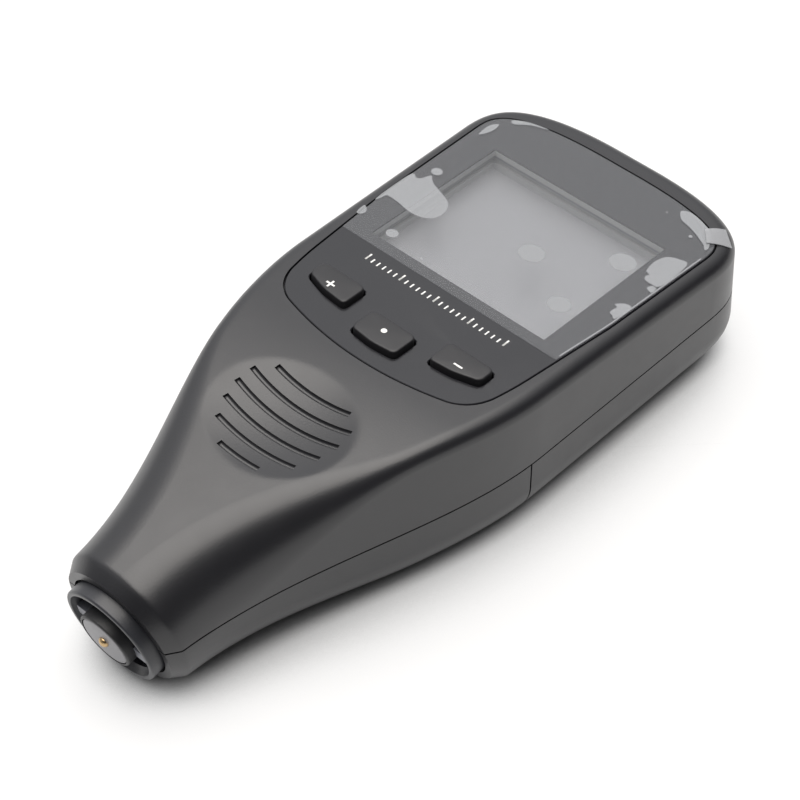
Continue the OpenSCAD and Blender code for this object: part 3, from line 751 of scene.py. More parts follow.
def section_half(y, inset, lid, low, high):
    """Half section as (inset from the plan, height above the floor or below the top, from the top)."""
    q = roundness(y)
    w = half_w(y)
    bx = mix(bottom_r, w - crest, q) - inset
    bz = mix(bottom_r, probe_z - crest / 2, q) - inset
    sx = max(crest, mix(shoulder, w - crest, q) - inset)
    sz = max(crest, mix(shoulder, top_z(y) - probe_z - crest / 2, q) - lid)
    under = [math.pi / 2 * i / low for i in range(low + 1)]
    over = [math.pi / 2 * i / high for i in range(high + 1)]
    return ([(bx * (1 - math.sin(a)), inset + bz * (1 - math.cos(a)), False) for a in under]
            + [(sx * (1 - math.cos(a)), -lid - sz * (1 - math.sin(a)), True) for a in over])


print("heights:", [round(top_z(y), 2) for y in (-50, -25, 0, 25, 48)])

# %% Rings of the loft
def loft_ring(plan, i, inset, lid, low, high, across, shrink=1.0):
    """Ring of the loft: up the right side, across the top and down the left side."""
    here_x, here_y = plan[i]
    before, after = plan[max(0, i - 1)], plan[min(len(plan) - 1, i + 1)]
    length = math.hypot(after[0] - before[0], after[1] - before[1])
    nx, ny = (after[1] - before[1]) / length, (before[0] - after[0]) / length
    end_lean = math.tan(END_DRAFT) * ease((here_y - wide_y) / end_l)
    half = []
    for s, rise, from_top in section_half(here_y, inset, lid, low, high):
        over = max(0.0, top_z(here_y) + rise - bottom_r) if from_top else 0.0
        back_by = inset + s + over * end_lean
        y = here_y - ny * back_by
        z = mix(probe_z, rise + (top_z(y) if from_top else 0.0), shrink)
        nose_lean = (z - probe_z) * math.tan(tilt) * roundness(here_y)
        half.append(((here_x - nx * back_by) * shrink, y - nose_lean, z))
    x, y, z = half[-1]
    bridge = [(mix(x, -x, k / across), y, z) for k in range(1, across)]
    return half + bridge + [(-p[0], p[1], p[2]) for p in reversed(half)]


def loft_solid(name, rings, across):
    """Skin through the loft's rings, closed by strips straight across both ends."""
    size = len(rings[0])
    half = (size - across + 1) // 2
    faces = ring_faces(len(rings), size)
    for start in (0, (len(rings) - 1) * size):
        for k in range(half - 2):
            faces.append(tuple(start + j for j in (k, k + 1, size - 2 - k, size - 1 - k)))
        faces.append(tuple(start + j for j in range(half - 2, size - half + 2)))
    return solid(name, [p for ring in rings for p in ring], faces)


print("points in half a section:", len(section_half(0.0, 0.0, 0.0, 12, 16)))

# %% [markdown]
# ## The thumb grip
# The grip is a shallow spherical dish in the neck. A boolean with a sphere would leave a sharp rim,
# so each point of the loft takes a soft minimum of the two surfaces, which rounds it. The loft also
# gets a few close rings at the nose, each a little smaller than the next, which round its edge.

# %% Loft the casing with its dish
GRIP_Y = window_y - 39.5
GRIP_R = 60.0
GRIP_DEPTH = 1.3
GRIP_SOFT = 0.09
GRIP_REACH = 25.0


def dish_z(x, y):
    """Height of the spherical dish of the thumb grip."""
    slope = top_z(GRIP_Y + 0.5) - top_z(GRIP_Y - 0.5)
    up = Vector((0.0, -slope, 1.0)).normalized()
    centre = Vector((0.0, GRIP_Y, top_z(GRIP_Y))) + (GRIP_R - GRIP_DEPTH) * up
    under = GRIP_R**2 - (x - centre.x) ** 2 - (y - centre.y) ** 2
    return centre.z - math.sqrt(max(under, 0.0))


def dished(point):
    """Point of the loft, lowered onto the dish where the dish lies below it."""
    x, y, z = point
    if abs(y - GRIP_Y) > GRIP_REACH or z < probe_z:
        return point
    low = dish_z(x, y)
    near = max(GRIP_SOFT - abs(z - low), 0.0) / GRIP_SOFT
    return x, y, min(z, low) - near * near * GRIP_SOFT / 4


# Distance of each nose ring behind the tip, and the share of the full section that it has.
NOSE_RINGS = {0.0: nose_d / neck_d, 1.6: 0.9675, 2.0: 0.9885, 2.2: 0.9955, 2.5: 0.9992}
SIDE_STEPS = 190
END_STEPS = 44
UNDER_STEPS = 12
OVER_STEPS = 16
TOP_STEPS = 64
nose_plan = [(half_w(tip_y + run), tip_y + run) for run in NOSE_RINGS]
outer_plan = nose_plan + plan_half(tip_y + nose_l, SIDE_STEPS, END_STEPS)[1:]
shrinks = list(NOSE_RINGS.values()) + [1.0] * (len(outer_plan) - len(nose_plan))
outer_rings = []
for i, shrink in enumerate(shrinks):
    ring = loft_ring(outer_plan, i, 0.0, 0.0, UNDER_STEPS, OVER_STEPS, TOP_STEPS, shrink)
    outer_rings.append([dished(p) for p in ring])
casing_form = loft_solid("casing_form", outer_rings, TOP_STEPS)
print("form:", len(casing_form.data.vertices), "points")

# %% Loft the room inside
ROOM_BACK = 1.6
ROOM_SIDES = 60
ROOM_ENDS = 24
ROOM_STEPS = 6
ROOM_ACROSS = 2
room_y = tip_y + (chamber_depth + ROOM_BACK) * math.cos(tilt)
room_plan = plan_half(room_y, ROOM_SIDES, ROOM_ENDS)
room_rings = [
    loft_ring(room_plan, i, wall, roof, ROOM_STEPS, ROOM_STEPS, ROOM_ACROSS) for i in range(len(room_plan))
]
casing_room = loft_solid("casing_room", room_rings, ROOM_ACROSS)
print("room:", len(casing_room.data.vertices), "points")

# %% [markdown]
# ## Outlines on the display face
# The faceplate lies in a recess with the same outline, a little larger, and each key stands in a
# hole of its own shape. These outlines are drawn once, with a value to grow them, so that plates,
# holes, caps and film all follow the same curves with an even gap.

# %% Outline of the faceplate
PANEL_SAG = 3.6
PANEL_REACH = 20.0
PANEL_FLARE = 0.06
PANEL_STRAIGHT = 9.5
PANEL_END = 3.2
CORNER_X = 16.5
CORNER_Y = 4.0
CORNER_PULL = 0.2
HEAD_STEP = 1


def panel_side(y, grow):
    """Point on the right edge of the faceplate."""
    flare = PANEL_FLARE * max(0.0, PANEL_STRAIGHT - y)
    return half_w(y + window_y) - panel_border - flare + grow, y


def panel_low(x, grow):
    """Point on the bowed near edge of the faceplate."""
    return x, crown_y - window_y + PANEL_SAG * (x / PANEL_REACH) ** 2 - grow


def curve3(p, v, q, steps):
    """Quadratic curve from p to q with its corner at v."""
    made = []
    for k in range(1, steps + 1):
        t = k / steps
        made.append(tuple(p[a] * (1 - t) ** 2 + v[a] * 2 * t * (1 - t) + q[a] * t * t for a in (0, 1)))
    return made


def panel_head(y0, grow, steps):
    """Right edge of the faceplate from a height upwards, to the middle of its far end."""
    sides = [panel_side(mix(y0, wide_y - window_y, i / steps), grow) for i in range(steps + 1)]
    ends = [end_point(END_SWEEP * i / steps, panel_border - grow, PANEL_END) for i in range(1, steps + 1)]
    return sides + [(x, y - window_y) for x, y in ends]


def panel_outline(grow, steps=24):
    """Whole outline of the faceplate, in the frame of the display face."""
    p = panel_low(CORNER_X, grow)
    y = panel_low(CORNER_X + CORNER_Y, grow)[1]
    q = panel_side(y + CORNER_Y, grow)
    foot = [panel_low(CORNER_X * i / steps, grow) for i in range(1, steps + 1)]
    foot += curve3(p, (panel_side(y, grow)[0] - CORNER_PULL, y), q, steps)
    half = foot + panel_head(q[1] + HEAD_STEP, grow, steps)
    return half + [(-x, y) for x, y in reversed(half)]


print("faceplate outline:", len(panel_outline(0.0)), "points")

# %% Outlines of the window and the keys
KEY_W = 9.0
KEY_L = 5.2
KEY_SKEW = 1.8
KEY_BOW = 0.5
KEY_CORNER = 1.1
KEY_GAP = 0.25
# Place of each key on the face, and the side to which it leans.
KEYS = {"key_left": (-13.3, -14.2, -1), "key_middle": (0.0, -17.1, 0), "key_right": (13.3, -14.2, 1)}


def window_outline(grow):
    """Outline of the window, in the frame of the display face."""
    w = window_w / 2 + grow
    return [(-w, -grow), (w, -grow), (w, window_l + grow), (-w, window_l + grow)]


def rounded(points, r, steps=8):
    """Outline with each corner cut back by r and rounded."""
    made = []
    for i, v in enumerate(points):
        p, q = (Vector(v) + (Vector(points[j % len(points)]) - Vector(v)).normalized() * r
                for j in (i - 1, i + 1))
        made += [tuple(p)] + curve3(p, v, q, steps)
    return made


def key_outline(name, grow):
    """Outline of a key about its centre, skewed to the side to which it leans."""
    lean = KEYS[name][2]
    w = KEY_W / 2 + grow
    h = KEY_L / 2 + grow
    skew_left = KEY_SKEW if lean < 0 else 0.0
    skew_right = KEY_SKEW if lean > 0 else 0.0
    low = max(skew_left, skew_right) / 2 - h - KEY_BOW
    return rounded([(w, h), (-w, h), (-w, skew_left - h), (0, low), (w, skew_right - h)], KEY_CORNER)


def on_key(name):
    """Frame of a key, in the frame of the display face."""
    return face_frame @ Matrix.Translation((*KEYS[name][:2], 0))


print("key outline:", len(key_outline("key_left", 0.0)), "points")

# %% [markdown]
# ## Grooves of the grip
# Six grooves follow arcs over the dish. They are one shape along many paths, so a Geometry Nodes
# tree sweeps a round cutter along one spline for each groove. The points' radius closes the ends of
# the cutter, so each groove ends in a rounded tip, and its round section gives the lips that catch
# the light. Three helpers open, close and run such a tree, because two more follow.

# %% Open, close and run a tree
def start_tree(name, inputs):
    """Geometry Nodes tree with named inputs; returns the tree, its input node and its sockets."""
    tree = bpy.data.node_groups.new(name, "GeometryNodeTree")
    sockets = {
        label: tree.interface.new_socket(label, in_out="INPUT", socket_type="NodeSocket" + kind)
        for label, kind in inputs.items()
    }
    tree.interface.new_socket("Mesh", in_out="OUTPUT", socket_type="NodeSocketGeometry")
    return tree, add(tree, "NodeGroupInput").outputs, sockets


def end_tree(tree, shape, finish):
    """Close a tree: instances made real, the finish, and the output."""
    plain = add(tree, "GeometryNodeRealizeInstances", None, {0: shape})
    finished = add(tree, "GeometryNodeSetMaterial", None, {
        "Geometry": plain.outputs[0], "Material": finish})
    add(tree, "NodeGroupOutput", None, {0: finished.outputs[0]})


def from_tree(name, tree, sockets, values, carrier=None):
    """Plain mesh that a tree makes on a carrier, from values by the names of its inputs."""
    holder = bpy.data.objects.new(name + "_holder", carrier or bpy.data.meshes.new(name))
    scene.collection.objects.link(holder)
    step = holder.modifiers.new("tree", "NODES")
    step.node_group = tree
    for label, value in values.items():
        step[sockets[label].identifier] = value
    bpy.context.view_layer.update()
    seen_by = bpy.context.evaluated_depsgraph_get()
    mesh = bpy.data.meshes.new_from_object(holder.evaluated_get(seen_by))
    bpy.data.objects.remove(holder)
    made = bpy.data.objects.new(name, mesh)
    scene.collection.objects.link(made)
    return made


print("node trees so far:", len(bpy.data.node_groups))

# %% Sweep the grooves
GROOVE_COUNT = 6
GROOVE_PITCH = 3.14
GROOVE_SHIFT = -1.75
GROOVE_BOW = 50.0
GROOVE_R = 0.52
GROOVE_DEPTH = -0.02
GROOVE_STEPS = 48
TIP_LEAST = 0.02
OVAL_MIDDLE = 1.2
OVAL_HALF_W = 10.6
OVAL_FAR = 7.0
OVAL_NEAR = 11.7


def groove_half(y):
    """Half length of a groove at a distance from the middle of the grip."""
    off = y - OVAL_MIDDLE
    reach = OVAL_FAR if off > 0 else OVAL_NEAR
    return OVAL_HALF_W * math.sqrt(max(0.0, 1 - (off / reach) ** 2))


paths = bpy.data.curves.new("groove_paths", "CURVE")
paths.dimensions = "3D"
for i in range(GROOVE_COUNT):
    offset = GROOVE_SHIFT + GROOVE_PITCH * ((GROOVE_COUNT - 1) / 2 - i)
    half = groove_half(offset)
    spline = paths.splines.new("POLY")
    spline.points.add(GROOVE_STEPS)
    for k, point in enumerate(spline.points):
        x = half * math.sin(math.pi * (k / GROOVE_STEPS - 0.5))
        y = GRIP_Y + offset + GROOVE_BOW - math.sqrt(GROOVE_BOW**2 - x * x)
        past = max(0.0, abs(x) - half + GROOVE_R) / GROOVE_R
        point.co = (x * MM, y * MM, (dish_z(x, y) - GROOVE_DEPTH) * MM, 1.0)
        point.radius = math.sqrt(max(TIP_LEAST, 1 - past * past))

sweep, given, sweep_in = start_tree("groove_sweep", {
    "Paths": "Geometry", "Radius": "Float", "Finish": "Material"})
circle = add(sweep, "GeometryNodeCurvePrimitiveCircle", {"Resolution": 16}, {"Radius": given["Radius"]})
tube = add(sweep, "GeometryNodeCurveToMesh", {"Fill Caps": True}, {
    "Curve": given["Paths"], "Profile Curve": circle.outputs["Curve"]})
end_tree(sweep, tube.outputs[0], given["Finish"])
groove_cutter = from_tree("groove_cutter", sweep, sweep_in,
                          {"Radius": GROOVE_R * MM, "Finish": casing_abs}, paths)
print("groove cutters:", len(groove_cutter.data.polygons), "faces")

# %% [markdown]
# ## Front shell
# The two halves of the handle and the battery cover are cut from the same form, so their outsides
# run on across the joints, and the joints are the gaps left between them. The front shell is the
# upper half. It loses the room inside, the recess of the faceplate, the window, the key holes, the
# grooves and the stepped bore of the probe.

# %% Front shell
# Cutters run this far past the casing, and this far through its roof.
FAR = 200.0
PAST = 2
WINDOW_LAP = 0.85
RECESS_TOP = 10.0
MOUTH_GAP = 0.8
MOUTH_DEPTH = 1.2
SEAT_GAP = 0.1
CHAMBER_D = 13.2
LEAD_D = 4.0
LEAD_PAST = 6.4


def probe_bores():
    """Stepped bores for the collar, the barrel's stop and the leads."""
    return [
        round_rod("mouth", collar_d + MOUTH_GAP, -1.0, MOUTH_DEPTH, probe_frame),
        round_rod("seat", collar_d + SEAT_GAP, 0.0, seat_depth, probe_frame),
        round_rod("chamber", CHAMBER_D, 0.0, chamber_depth, probe_frame),
        round_rod("lead_hole", LEAD_D, 0.0, chamber_depth + LEAD_PAST, probe_frame),
    ]


front = carve(copied(casing_form, "front_shell_skin"), [
    box("below", -FAR, FAR, -FAR, FAR, -FAR, parting_h + seam_gap / 2),
    copied(casing_room, "room"),
    prism("recess", panel_outline(panel_gap), -panel_t, RECESS_TOP, face_frame),
    prism("window_hole", window_outline(WINDOW_LAP), -roof - PAST, RECESS_TOP / 2, face_frame),
    groove_cutter,
    *probe_bores(),
])
carve(front, [
    prism(name + "_hole", key_outline(name, KEY_GAP), -roof - PAST, 1.0, on_key(name)) for name in KEYS
])
dress(front, casing_abs, "casing", ["front_shell"])

# %% [markdown]
# ## Rear shell
# The rear shell is the lower half of the handle. It keeps a bulkhead behind the probe and carries
# the deck that roofs the battery bay, with skirts beside the cells and a rib at the far end. They
# show when the cover is slid off, so they are joined on as blocks and not left out.

# %% Rear shell with the battery deck
DECK_Z = 13.0
DECK_T = 1.5
DECK_END = 56.4
BAY_END = 54.0
BULKHEAD_T = 1.6
BOSS_Y = (8.0, 53.5)
BOSS_INSET = 5.3
BOSS_R = 2.8
SKIRT_X = 11.1
SKIRT_T = 1.2
SKIRT_FOOT = 5.0
# Blocks overlap by this much, so that a union makes one solid of them.
LAP = 0.1
SCREW_D = 2.2
boss_x = half_w(BOSS_Y[0]) - wall - BOSS_INSET
deck_x = boss_x + BOSS_R
skirt_y = (seam_y - LAP, BAY_END + SKIRT_T)
skirt_z = (SKIRT_FOOT, DECK_Z + LAP)

room_ahead = carve(copied(casing_room, "room_ahead"), [
    box("bulkhead", -FAR, FAR, seam_y - BULKHEAD_T, seam_y, -FAR, FAR)])
rear = carve(copied(casing_form, "rear_shell_skin"), [
    box("over", -FAR, FAR, -FAR, FAR, parting_h - seam_gap / 2, FAR),
    box("beyond", -FAR, FAR, seam_y, FAR, -FAR, FAR),
    room_ahead,
])
carve(rear, [
    box("deck", -deck_x, deck_x, seam_y - BULKHEAD_T, DECK_END, DECK_Z, DECK_Z + DECK_T),
    box("skirt_left", -SKIRT_X - SKIRT_T, -SKIRT_X, *skirt_y, *skirt_z),
    box("skirt_right", SKIRT_X, SKIRT_X + SKIRT_T, *skirt_y, *skirt_z),
    box("far_rib", -SKIRT_X - LAP, SKIRT_X + LAP, BAY_END, BAY_END + SKIRT_T, *skirt_z),
], "UNION")
carve(rear, probe_bores() + [
    round_rod("screw_hole", SCREW_D, DECK_Z - 1, DECK_Z + 3, Matrix.Translation((side * boss_x, y, 0)), 32)
    for side in (-1, 1) for y in BOSS_Y
])
dress(rear, casing_abs, "casing", ["rear_shell"])

# %% [markdown]
# ## Battery cover
# The cover is the lower half of the display end. It slides off along rails that grip the edges of
# the deck, and a row of finger grooves in its back gives a hold. A row of equal bars is wanted here
# and again for the printed ticks, so a second tree sets bars along a line.

# %% Row of bars
repeat, given, repeat_in = start_tree("finger_grooves", {
    "Count": "Int", "Pitch": "Vector", "Start": "Vector", "Size": "Vector", "Finish": "Material"})
places = add(repeat, "GeometryNodeMeshLine", None, {
    "Count": given["Count"], "Start Location": given["Start"], "Offset": given["Pitch"]})
bar = add(repeat, "GeometryNodeMeshCube", None, {"Size": given["Size"]})
bars = add(repeat, "GeometryNodeInstanceOnPoints", None, {
    "Points": places.outputs[0], "Instance": bar.outputs["Mesh"]})
end_tree(repeat, bars.outputs[0], given["Finish"])


def in_metres(place):
    """Frame in millimetres, for a mesh that is already in metres."""
    return Matrix.Translation(place.translation * MM) @ place.to_3x3().to_4x4()


def row_of_bars(name, count, pitch, start, size, material, place):
    """Row of equal bars from the tree; all sizes in millimetres."""
    values = {"Count": count, "Finish": material}
    for label, vector in (("Pitch", pitch), ("Start", start), ("Size", size)):
        values[label] = [v * MM for v in vector]
    made = from_tree(name, repeat, repeat_in, values)
    made.data.transform(in_metres(place))
    return made


print("row tree inputs:", ", ".join(repeat_in))

# %% Battery cover with its finger grooves
FINGER_COUNT = 4
FINGER_PITCH = 2.6
FINGER_FROM = 6.65
FINGER_SIZE = (16, 1.3)
FINGER_CUT = 0.4
RAIL_FROM = 10.0
RAIL_TO = 26.0
RAIL_GAP = 0.2
RAIL_T = 0.9
RAIL_FOOT = 3.0
RAIL_GRIP = 0.8
finger_bars = row_of_bars(
    "finger_bars", FINGER_COUNT, (0, FINGER_PITCH, 0), (0, seam_y + FINGER_FROM, 0),
    (*FINGER_SIZE, 2 * FINGER_CUT), casing_abs, Matrix())
cover = carve(copied(casing_form, "battery_cover_skin"), [
    box("over", -FAR, FAR, -FAR, FAR, parting_h - seam_gap / 2, FAR),
    box("ahead", -FAR, FAR, -FAR, seam_y + seam_gap, -FAR, FAR),
    copied(casing_room, "room"),
    finger_bars,
])
rail_x = deck_x + RAIL_GAP
rail_y = (seam_y + RAIL_FROM, seam_y + RAIL_TO)
rail_base = parting_h - seam_gap / 2
rail_top = DECK_Z + DECK_T + RAIL_GAP
rail_blocks = [
    ("foot", rail_x, half_w(rail_y[1]) - wall / 2, rail_base - RAIL_FOOT, rail_base - 0.02),
    ("post", rail_x, rail_x + RAIL_T, rail_base - RAIL_FOOT + LAP, rail_top + RAIL_T),
    ("lip", deck_x - RAIL_GRIP, rail_x + LAP, rail_top, rail_top + RAIL_T - 0.02),
]
rails = []
for side in (-1, 1):
    for name, x0, x1, z0, z1 in rail_blocks:
        rails.append(box(name, min(side * x0, side * x1), max(side * x0, side * x1), *rail_y, z0, z1))
carve(cover, rails, "UNION")
dress(cover, casing_abs, "cover", ["battery_cover"])
bpy.data.objects.remove(casing_form)
bpy.data.objects.remove(casing_room)

# %% [markdown]
# ## Faceplate
# The faceplate is drawn with smooth corners. Its edges and openings have a fine chamfer, like those
# of a routed sheet, so that they catch a thin highlight. The chamfer is drawn, not bevelled: a bevel
# would slide along the hidden edges that the cuts leave in the flat top. The sheet is printed on its
# back. The upright walls round the window, on the sheet and on the shell under it, take a pale
# finish: painted light, which lightens the dark depth of the window.

# %% Faceplate
EDGE = 0.12


def flared(name, narrow, wide, place):
    """Cutter for an opening in the faceplate, with a chamfer at its top."""
    return stacked(name, [(narrow, -panel_t - 1), (narrow, -EDGE), (wide, 0.0), (wide, 1.0)], place)


plate_levels = [(panel_outline(0.0), -panel_t), (panel_outline(0.0), -EDGE), (panel_outline(-EDGE), 0.0)]
plate = stacked("faceplate", plate_levels, face_frame)
carve(plate, [flared("window_cut", window_outline(0.0), window_outline(EDGE), face_frame)] + [
    flared(name + "_cut", key_outline(name, KEY_GAP), key_outline(name, KEY_GAP + EDGE), on_key(name))
    for name in KEYS
])
dress(plate, panel_pc, "casing", ["face_panel"], 20.0)

# %% Painted light on the walls of the window
WALL_NEAR = 0.05
UPRIGHT_NORMAL = 0.5


def paint_light_on_window_walls(piece, grow, below):
    """Painted light: the pale finish on the upright faces round the window, under a height of the display
    face.
    """
    piece.data.materials.append(pale_abs_and_painted_wall_light)
    to_face = face_frame.inverted()
    for face in piece.data.polygons:
        x, y, z = to_face @ (face.center / MM)
        upright = abs((to_face.to_3x3() @ face.normal).z) < UPRIGHT_NORMAL
        if upright and z < below and abs(x) < window_w / 2 + grow and -grow < y < window_l + grow:
            face.material_index = 1
    print(piece.name, "has", sum(face.material_index for face in piece.data.polygons), "pale faces")


# Painted light on the walls round the window, on the faceplate and on the front shell.
paint_light_on_window_walls(plate, WALL_NEAR, -EDGE)
paint_light_on_window_walls(front, WINDOW_LAP + WALL_NEAR, -panel_t)

# %% [markdown]
# ## Display stack
# Under the window lie the clear pane, a pale frame, the blank display with its light panel, and the
# board with its parts. They are flat and square, so their CAD solids are already right and only
# get their finishes.

# %% Display stack
refinish({
    "window_lens": lens_pc, "lcd_bezel": pale_abs_and_painted_wall_light, "lcd_glass": lcd_glass,
    "backlight_panel": diffuser_pmma, "circuit_board": laminate, "main_chip": chip_epoxy,
    "tact_switches": switch_nylon, "beeper": brass,
})

# %% [markdown]
# ## Printed ticks
# A row of plain ticks is printed under the window, each sixth one longer, as on a ruler. Each tick
# is a bar from the row tree, a few hundredths of a millimetre thick, as pad printing is. A texture
# could draw them too, but as a mesh they keep their edges.

# %% Ticks on the faceplate
INK = 0.03
TICK_X = -14.4
TICK_Y = -5.2
TICK_PITCH = 1.2
TICK_COUNT = 25
TICK_SIZE = (0.26, 1.0, INK)
LONG_PITCH = 7.2
LONG_COUNT = 5
LONG_SIZE = (0.3, 1.6, INK)
LONG_UP = 0.3
ticks = joined("printed_ticks", [
    row_of_bars("ticks", TICK_COUNT, (TICK_PITCH, 0, 0), (TICK_X, TICK_Y, INK / 2),
                TICK_SIZE, ink_white, face_frame),
    row_of_bars("long_ticks", LONG_COUNT, (LONG_PITCH, 0, 0), (TICK_X, TICK_Y + LONG_UP, INK / 2),
                LONG_SIZE, ink_white, face_frame),
])
dress(ticks, ink_white, "casing")

# %% [markdown]
# ## Protective film
# The film is a stiff clear sheet over the upper part of the faceplate. It is a grid of rows with a
# Solidify modifier, so that its edge can lift: along the right side and towards the far right
# corner it stands off a little. A cut-out of the faceplate's solid could not do that.

# %% Film
FILM_T = 0.12
FILM_DROP = 2.4
FILM_INSET = 0.15
FILM_COLUMNS = 48
FILM_ROWS = 30
FILM_GAP = 0.04
EDGE_FROM = 0.95
EDGE_LIFT = 0.14
FAR_FROM = (0.6, 30.0)
FAR_RUN = 12.0
FAR_LIFT = 0.25


def film_z(x, y):
    """Height of the film over the faceplate: flat, with its right edge a little lifted."""
    share = x / panel_side(min(y, wide_y - window_y), 0.0)[0]
    edge_lift = max(0.0, share - EDGE_FROM) / (1 - EDGE_FROM)
    far_lift = ease((y - FAR_FROM[1]) / FAR_RUN) * max(0.0, share - FAR_FROM[0])
    return FILM_GAP + EDGE_LIFT * edge_lift**2 + FAR_LIFT * far_lift


def sheet_of(name, rows):
    """Thin sheet through rows of points, in the frame of the display face."""
    wide = len(rows[0])
    faces = [
        (r * wide + k, r * wide + k + 1, (r + 1) * wide + k + 1, (r + 1) * wide + k)
        for r in range(len(rows) - 1) for k in range(wide - 1)
    ]
    made = solid(name, [p for row in rows for p in row], faces, face_frame)
    thick = made.modifiers.new("thickness", "SOLIDIFY")
    thick.thickness = FILM_T * MM
    thick.offset = 1.0
    return settle(made)


film_rows = []
for edge_x, y in panel_head(-FILM_DROP, -FILM_INSET, FILM_ROWS):
    across = [mix(-edge_x, edge_x, k / FILM_COLUMNS) for k in range(FILM_COLUMNS + 1)]
    film_rows.append([(x, y, film_z(x, y)) for x in across])
film = sheet_of("protective_film", film_rows)
dress(film, film_pe, "casing", ["screen_film"])

# %% [markdown]
# ## Air under the film
# Where air has crept under the film, it lifts in flat bubbles and looks pale. Each bubble is a thin
# patch on the sheet with a paler finish, a painted reflection: round ones in the middle, and irregular
# ones along the edges, drawn as smooth loops through a few points in millimetres. Such air scatters
# light to the eye but hardly dims what lies under it, so the patches throw no shadow on the display.

# %% Air under the film
PATCH_GAP = 0.01
PATCH_T = 0.05
DISC_POINTS = 8
DISC_SQUASH = 0.92
LINE_FROM = -1.5
LINE_TO = 32.5
LINE_INSET = 0.25
LINE_W = 0.22
LINE_STEPS = 20


def smooth_loop(points, steps=6):
    """Closed smooth curve through a few points."""
    made = []
    for i in range(len(points)):
        a, b, c, d = (Vector(points[(i + j) % len(points)]) for j in (-1, 0, 1, 2))
        for k in range(steps):
            t = k / steps
            bend = (2 * a - 5 * b + 4 * c - d) * t**2 + (3 * b - a - 3 * c + d) * t**3
            made.append(tuple(0.5 * (2 * b + (c - a) * t + bend)))
    return made


def disc(x, y, r):
    """Points of a round patch, slightly squashed along the sheet."""
    spots = [2 * math.pi * i / DISC_POINTS for i in range(DISC_POINTS)]
    return [(x + r * math.cos(a), y + DISC_SQUASH * r * math.sin(a)) for a in spots]


patches = [
    disc(3.6, 14.2, 2.3), disc(15.4, 22.9, 2.3), disc(14.6, 7.8, 2.0), disc(-15.5, 1.9, 1.1),
    disc(-20.9, 18.9, 1.0), disc(19.2, 35.8, 0.35), disc(-8.0, 0.6, 0.35),
    [(-23.3, 6.4), (-23.6, 10.5), (-23.5, 15.5), (-22.3, 15.3), (-21.6, 15.7), (-20.9, 17.4),
     (-20.1, 16.8), (-19.1, 16.1), (-17.7, 15.6), (-15.0, 14.6), (-13.7, 13.5), (-13.0, 11.9),
     (-13.0, 10.3), (-13.6, 9.1), (-15.0, 8.2), (-17.2, 7.9), (-20.1, 8.4), (-21.9, 8.5),
     (-22.7, 8.3), (-22.9, 7.1)],
    [(-23.5, 3.9), (-22.8, 3.7), (-22.2, 2.9), (-22.3, 2.1), (-23.0, 1.6), (-23.4, 2.4)],
    [(19.2, 24.6), (19.0, 25.7), (19.0, 27.1), (19.5, 28.7), (20.4, 29.5), (21.5, 29.9), (22.9, 30.1),
     (23.4, 28.0), (23.3, 22.6), (21.9, 21.9), (20.5, 22.1), (20.1, 22.8), (20.3, 23.5), (19.5, 23.8)],
    [(22.0, 20.7), (22.4, 21.7), (23.2, 21.5), (23.2, 20.3)],
    [(20.8, 14.0), (21.4, 14.8), (22.1, 15.3), (23.2, 15.1), (23.0, 11.4), (22.1, 11.7), (21.5, 11.9),
     (21.4, 12.6), (21.5, 13.7)],
    [(-22.6, 31.5), (-22.9, 34.6), (-21.9, 36.0), (-21.6, 33.8)],
    [(-21.0, 38.6), (-18.6, 40.2), (-15.0, 41.0), (-18.0, 39.7), (-20.2, 37.9)],
    [(14.2, 39.8), (15.4, 40.6), (17.3, 40.4), (19.4, 39.7), (20.8, 39.0), (22.4, 36.8), (23.1, 35.4),
     (22.9, 34.7), (22.0, 35.6), (20.8, 36.2), (19.4, 36.9), (17.8, 37.5), (16.2, 37.9), (15.2, 38.4)],
]
loops = [smooth_loop(points) for points in patches]
# A thin line of air runs along the lifted right edge.
line_y = [mix(LINE_FROM, LINE_TO, i / LINE_STEPS) for i in range(LINE_STEPS + 1)]
edge_line = [panel_side(y, -LINE_INSET) for y in line_y]
loops.append(edge_line + [(x - LINE_W, y) for x, y in reversed(edge_line)])
air = []
for loop in loops:
    lift = max(film_z(x, y) for x, y in loop) + FILM_T + PATCH_GAP
    air.append(prism("patch", loop, lift, lift + PATCH_T, face_frame))
bubbles = joined("film_bubbles", air)
# Painted reflection: the patches are pale where air lies under the film.
dress(bubbles, bubble_painted_reflection, "casing")
bubbles.visible_shadow = False

# %% [markdown]
# ## Pull tab
# At the far right corner a folded tab of the film leans over the shoulder of the casing, for the
# owner to pull. It is a small grid between four corners, with a slight bulge across the fold. A cloth
# simulation would be far more than a tab of 4 mm needs.

# %% Pull tab
TAB = [(19.9, 38.7, 0.42), (22.2, 41.4, 0.02), (25.4, 38.9, -0.5), (22.2, 36.1, 0.42)]
TAB_STEPS = 8
TAB_BULGE = 0.2
tab_rows = []
for i in range(TAB_STEPS + 1):
    inner = [mix(TAB[0][a], TAB[3][a], i / TAB_STEPS) for a in range(3)]
    outer = [mix(TAB[1][a], TAB[2][a], i / TAB_STEPS) for a in range(3)]
    row = []
    for k in range(TAB_STEPS + 1):
        x, y, z = (mix(inner[a], outer[a], k / TAB_STEPS) for a in range(3))
        row.append((x, y, z + TAB_BULGE * math.sin(math.pi * k / TAB_STEPS)))
    tab_rows.append(row)
tab = sheet_of("film_tab", tab_rows)
dress(tab, film_fold, "casing")

# %% [markdown]
# ## Keys
# Each key is a moulded cap: a flange that keeps it under the shell, straight sides, a rounded rim
# and a top with a slight dome. A skin through offset outlines gives all of that at once. The plus,
# the dot and the minus are pad printed, and ride on their keys.

# %% Key caps
KEY_RISE = 1.1
KEY_SOFT = 0.3
KEY_CROWN = 0.1
KEY_BASE = -4.4
FLANGE_T = 1.2
FLANGE_LAP = 0.8
RIM_STEPS = 6
DOME_RINGS = 8


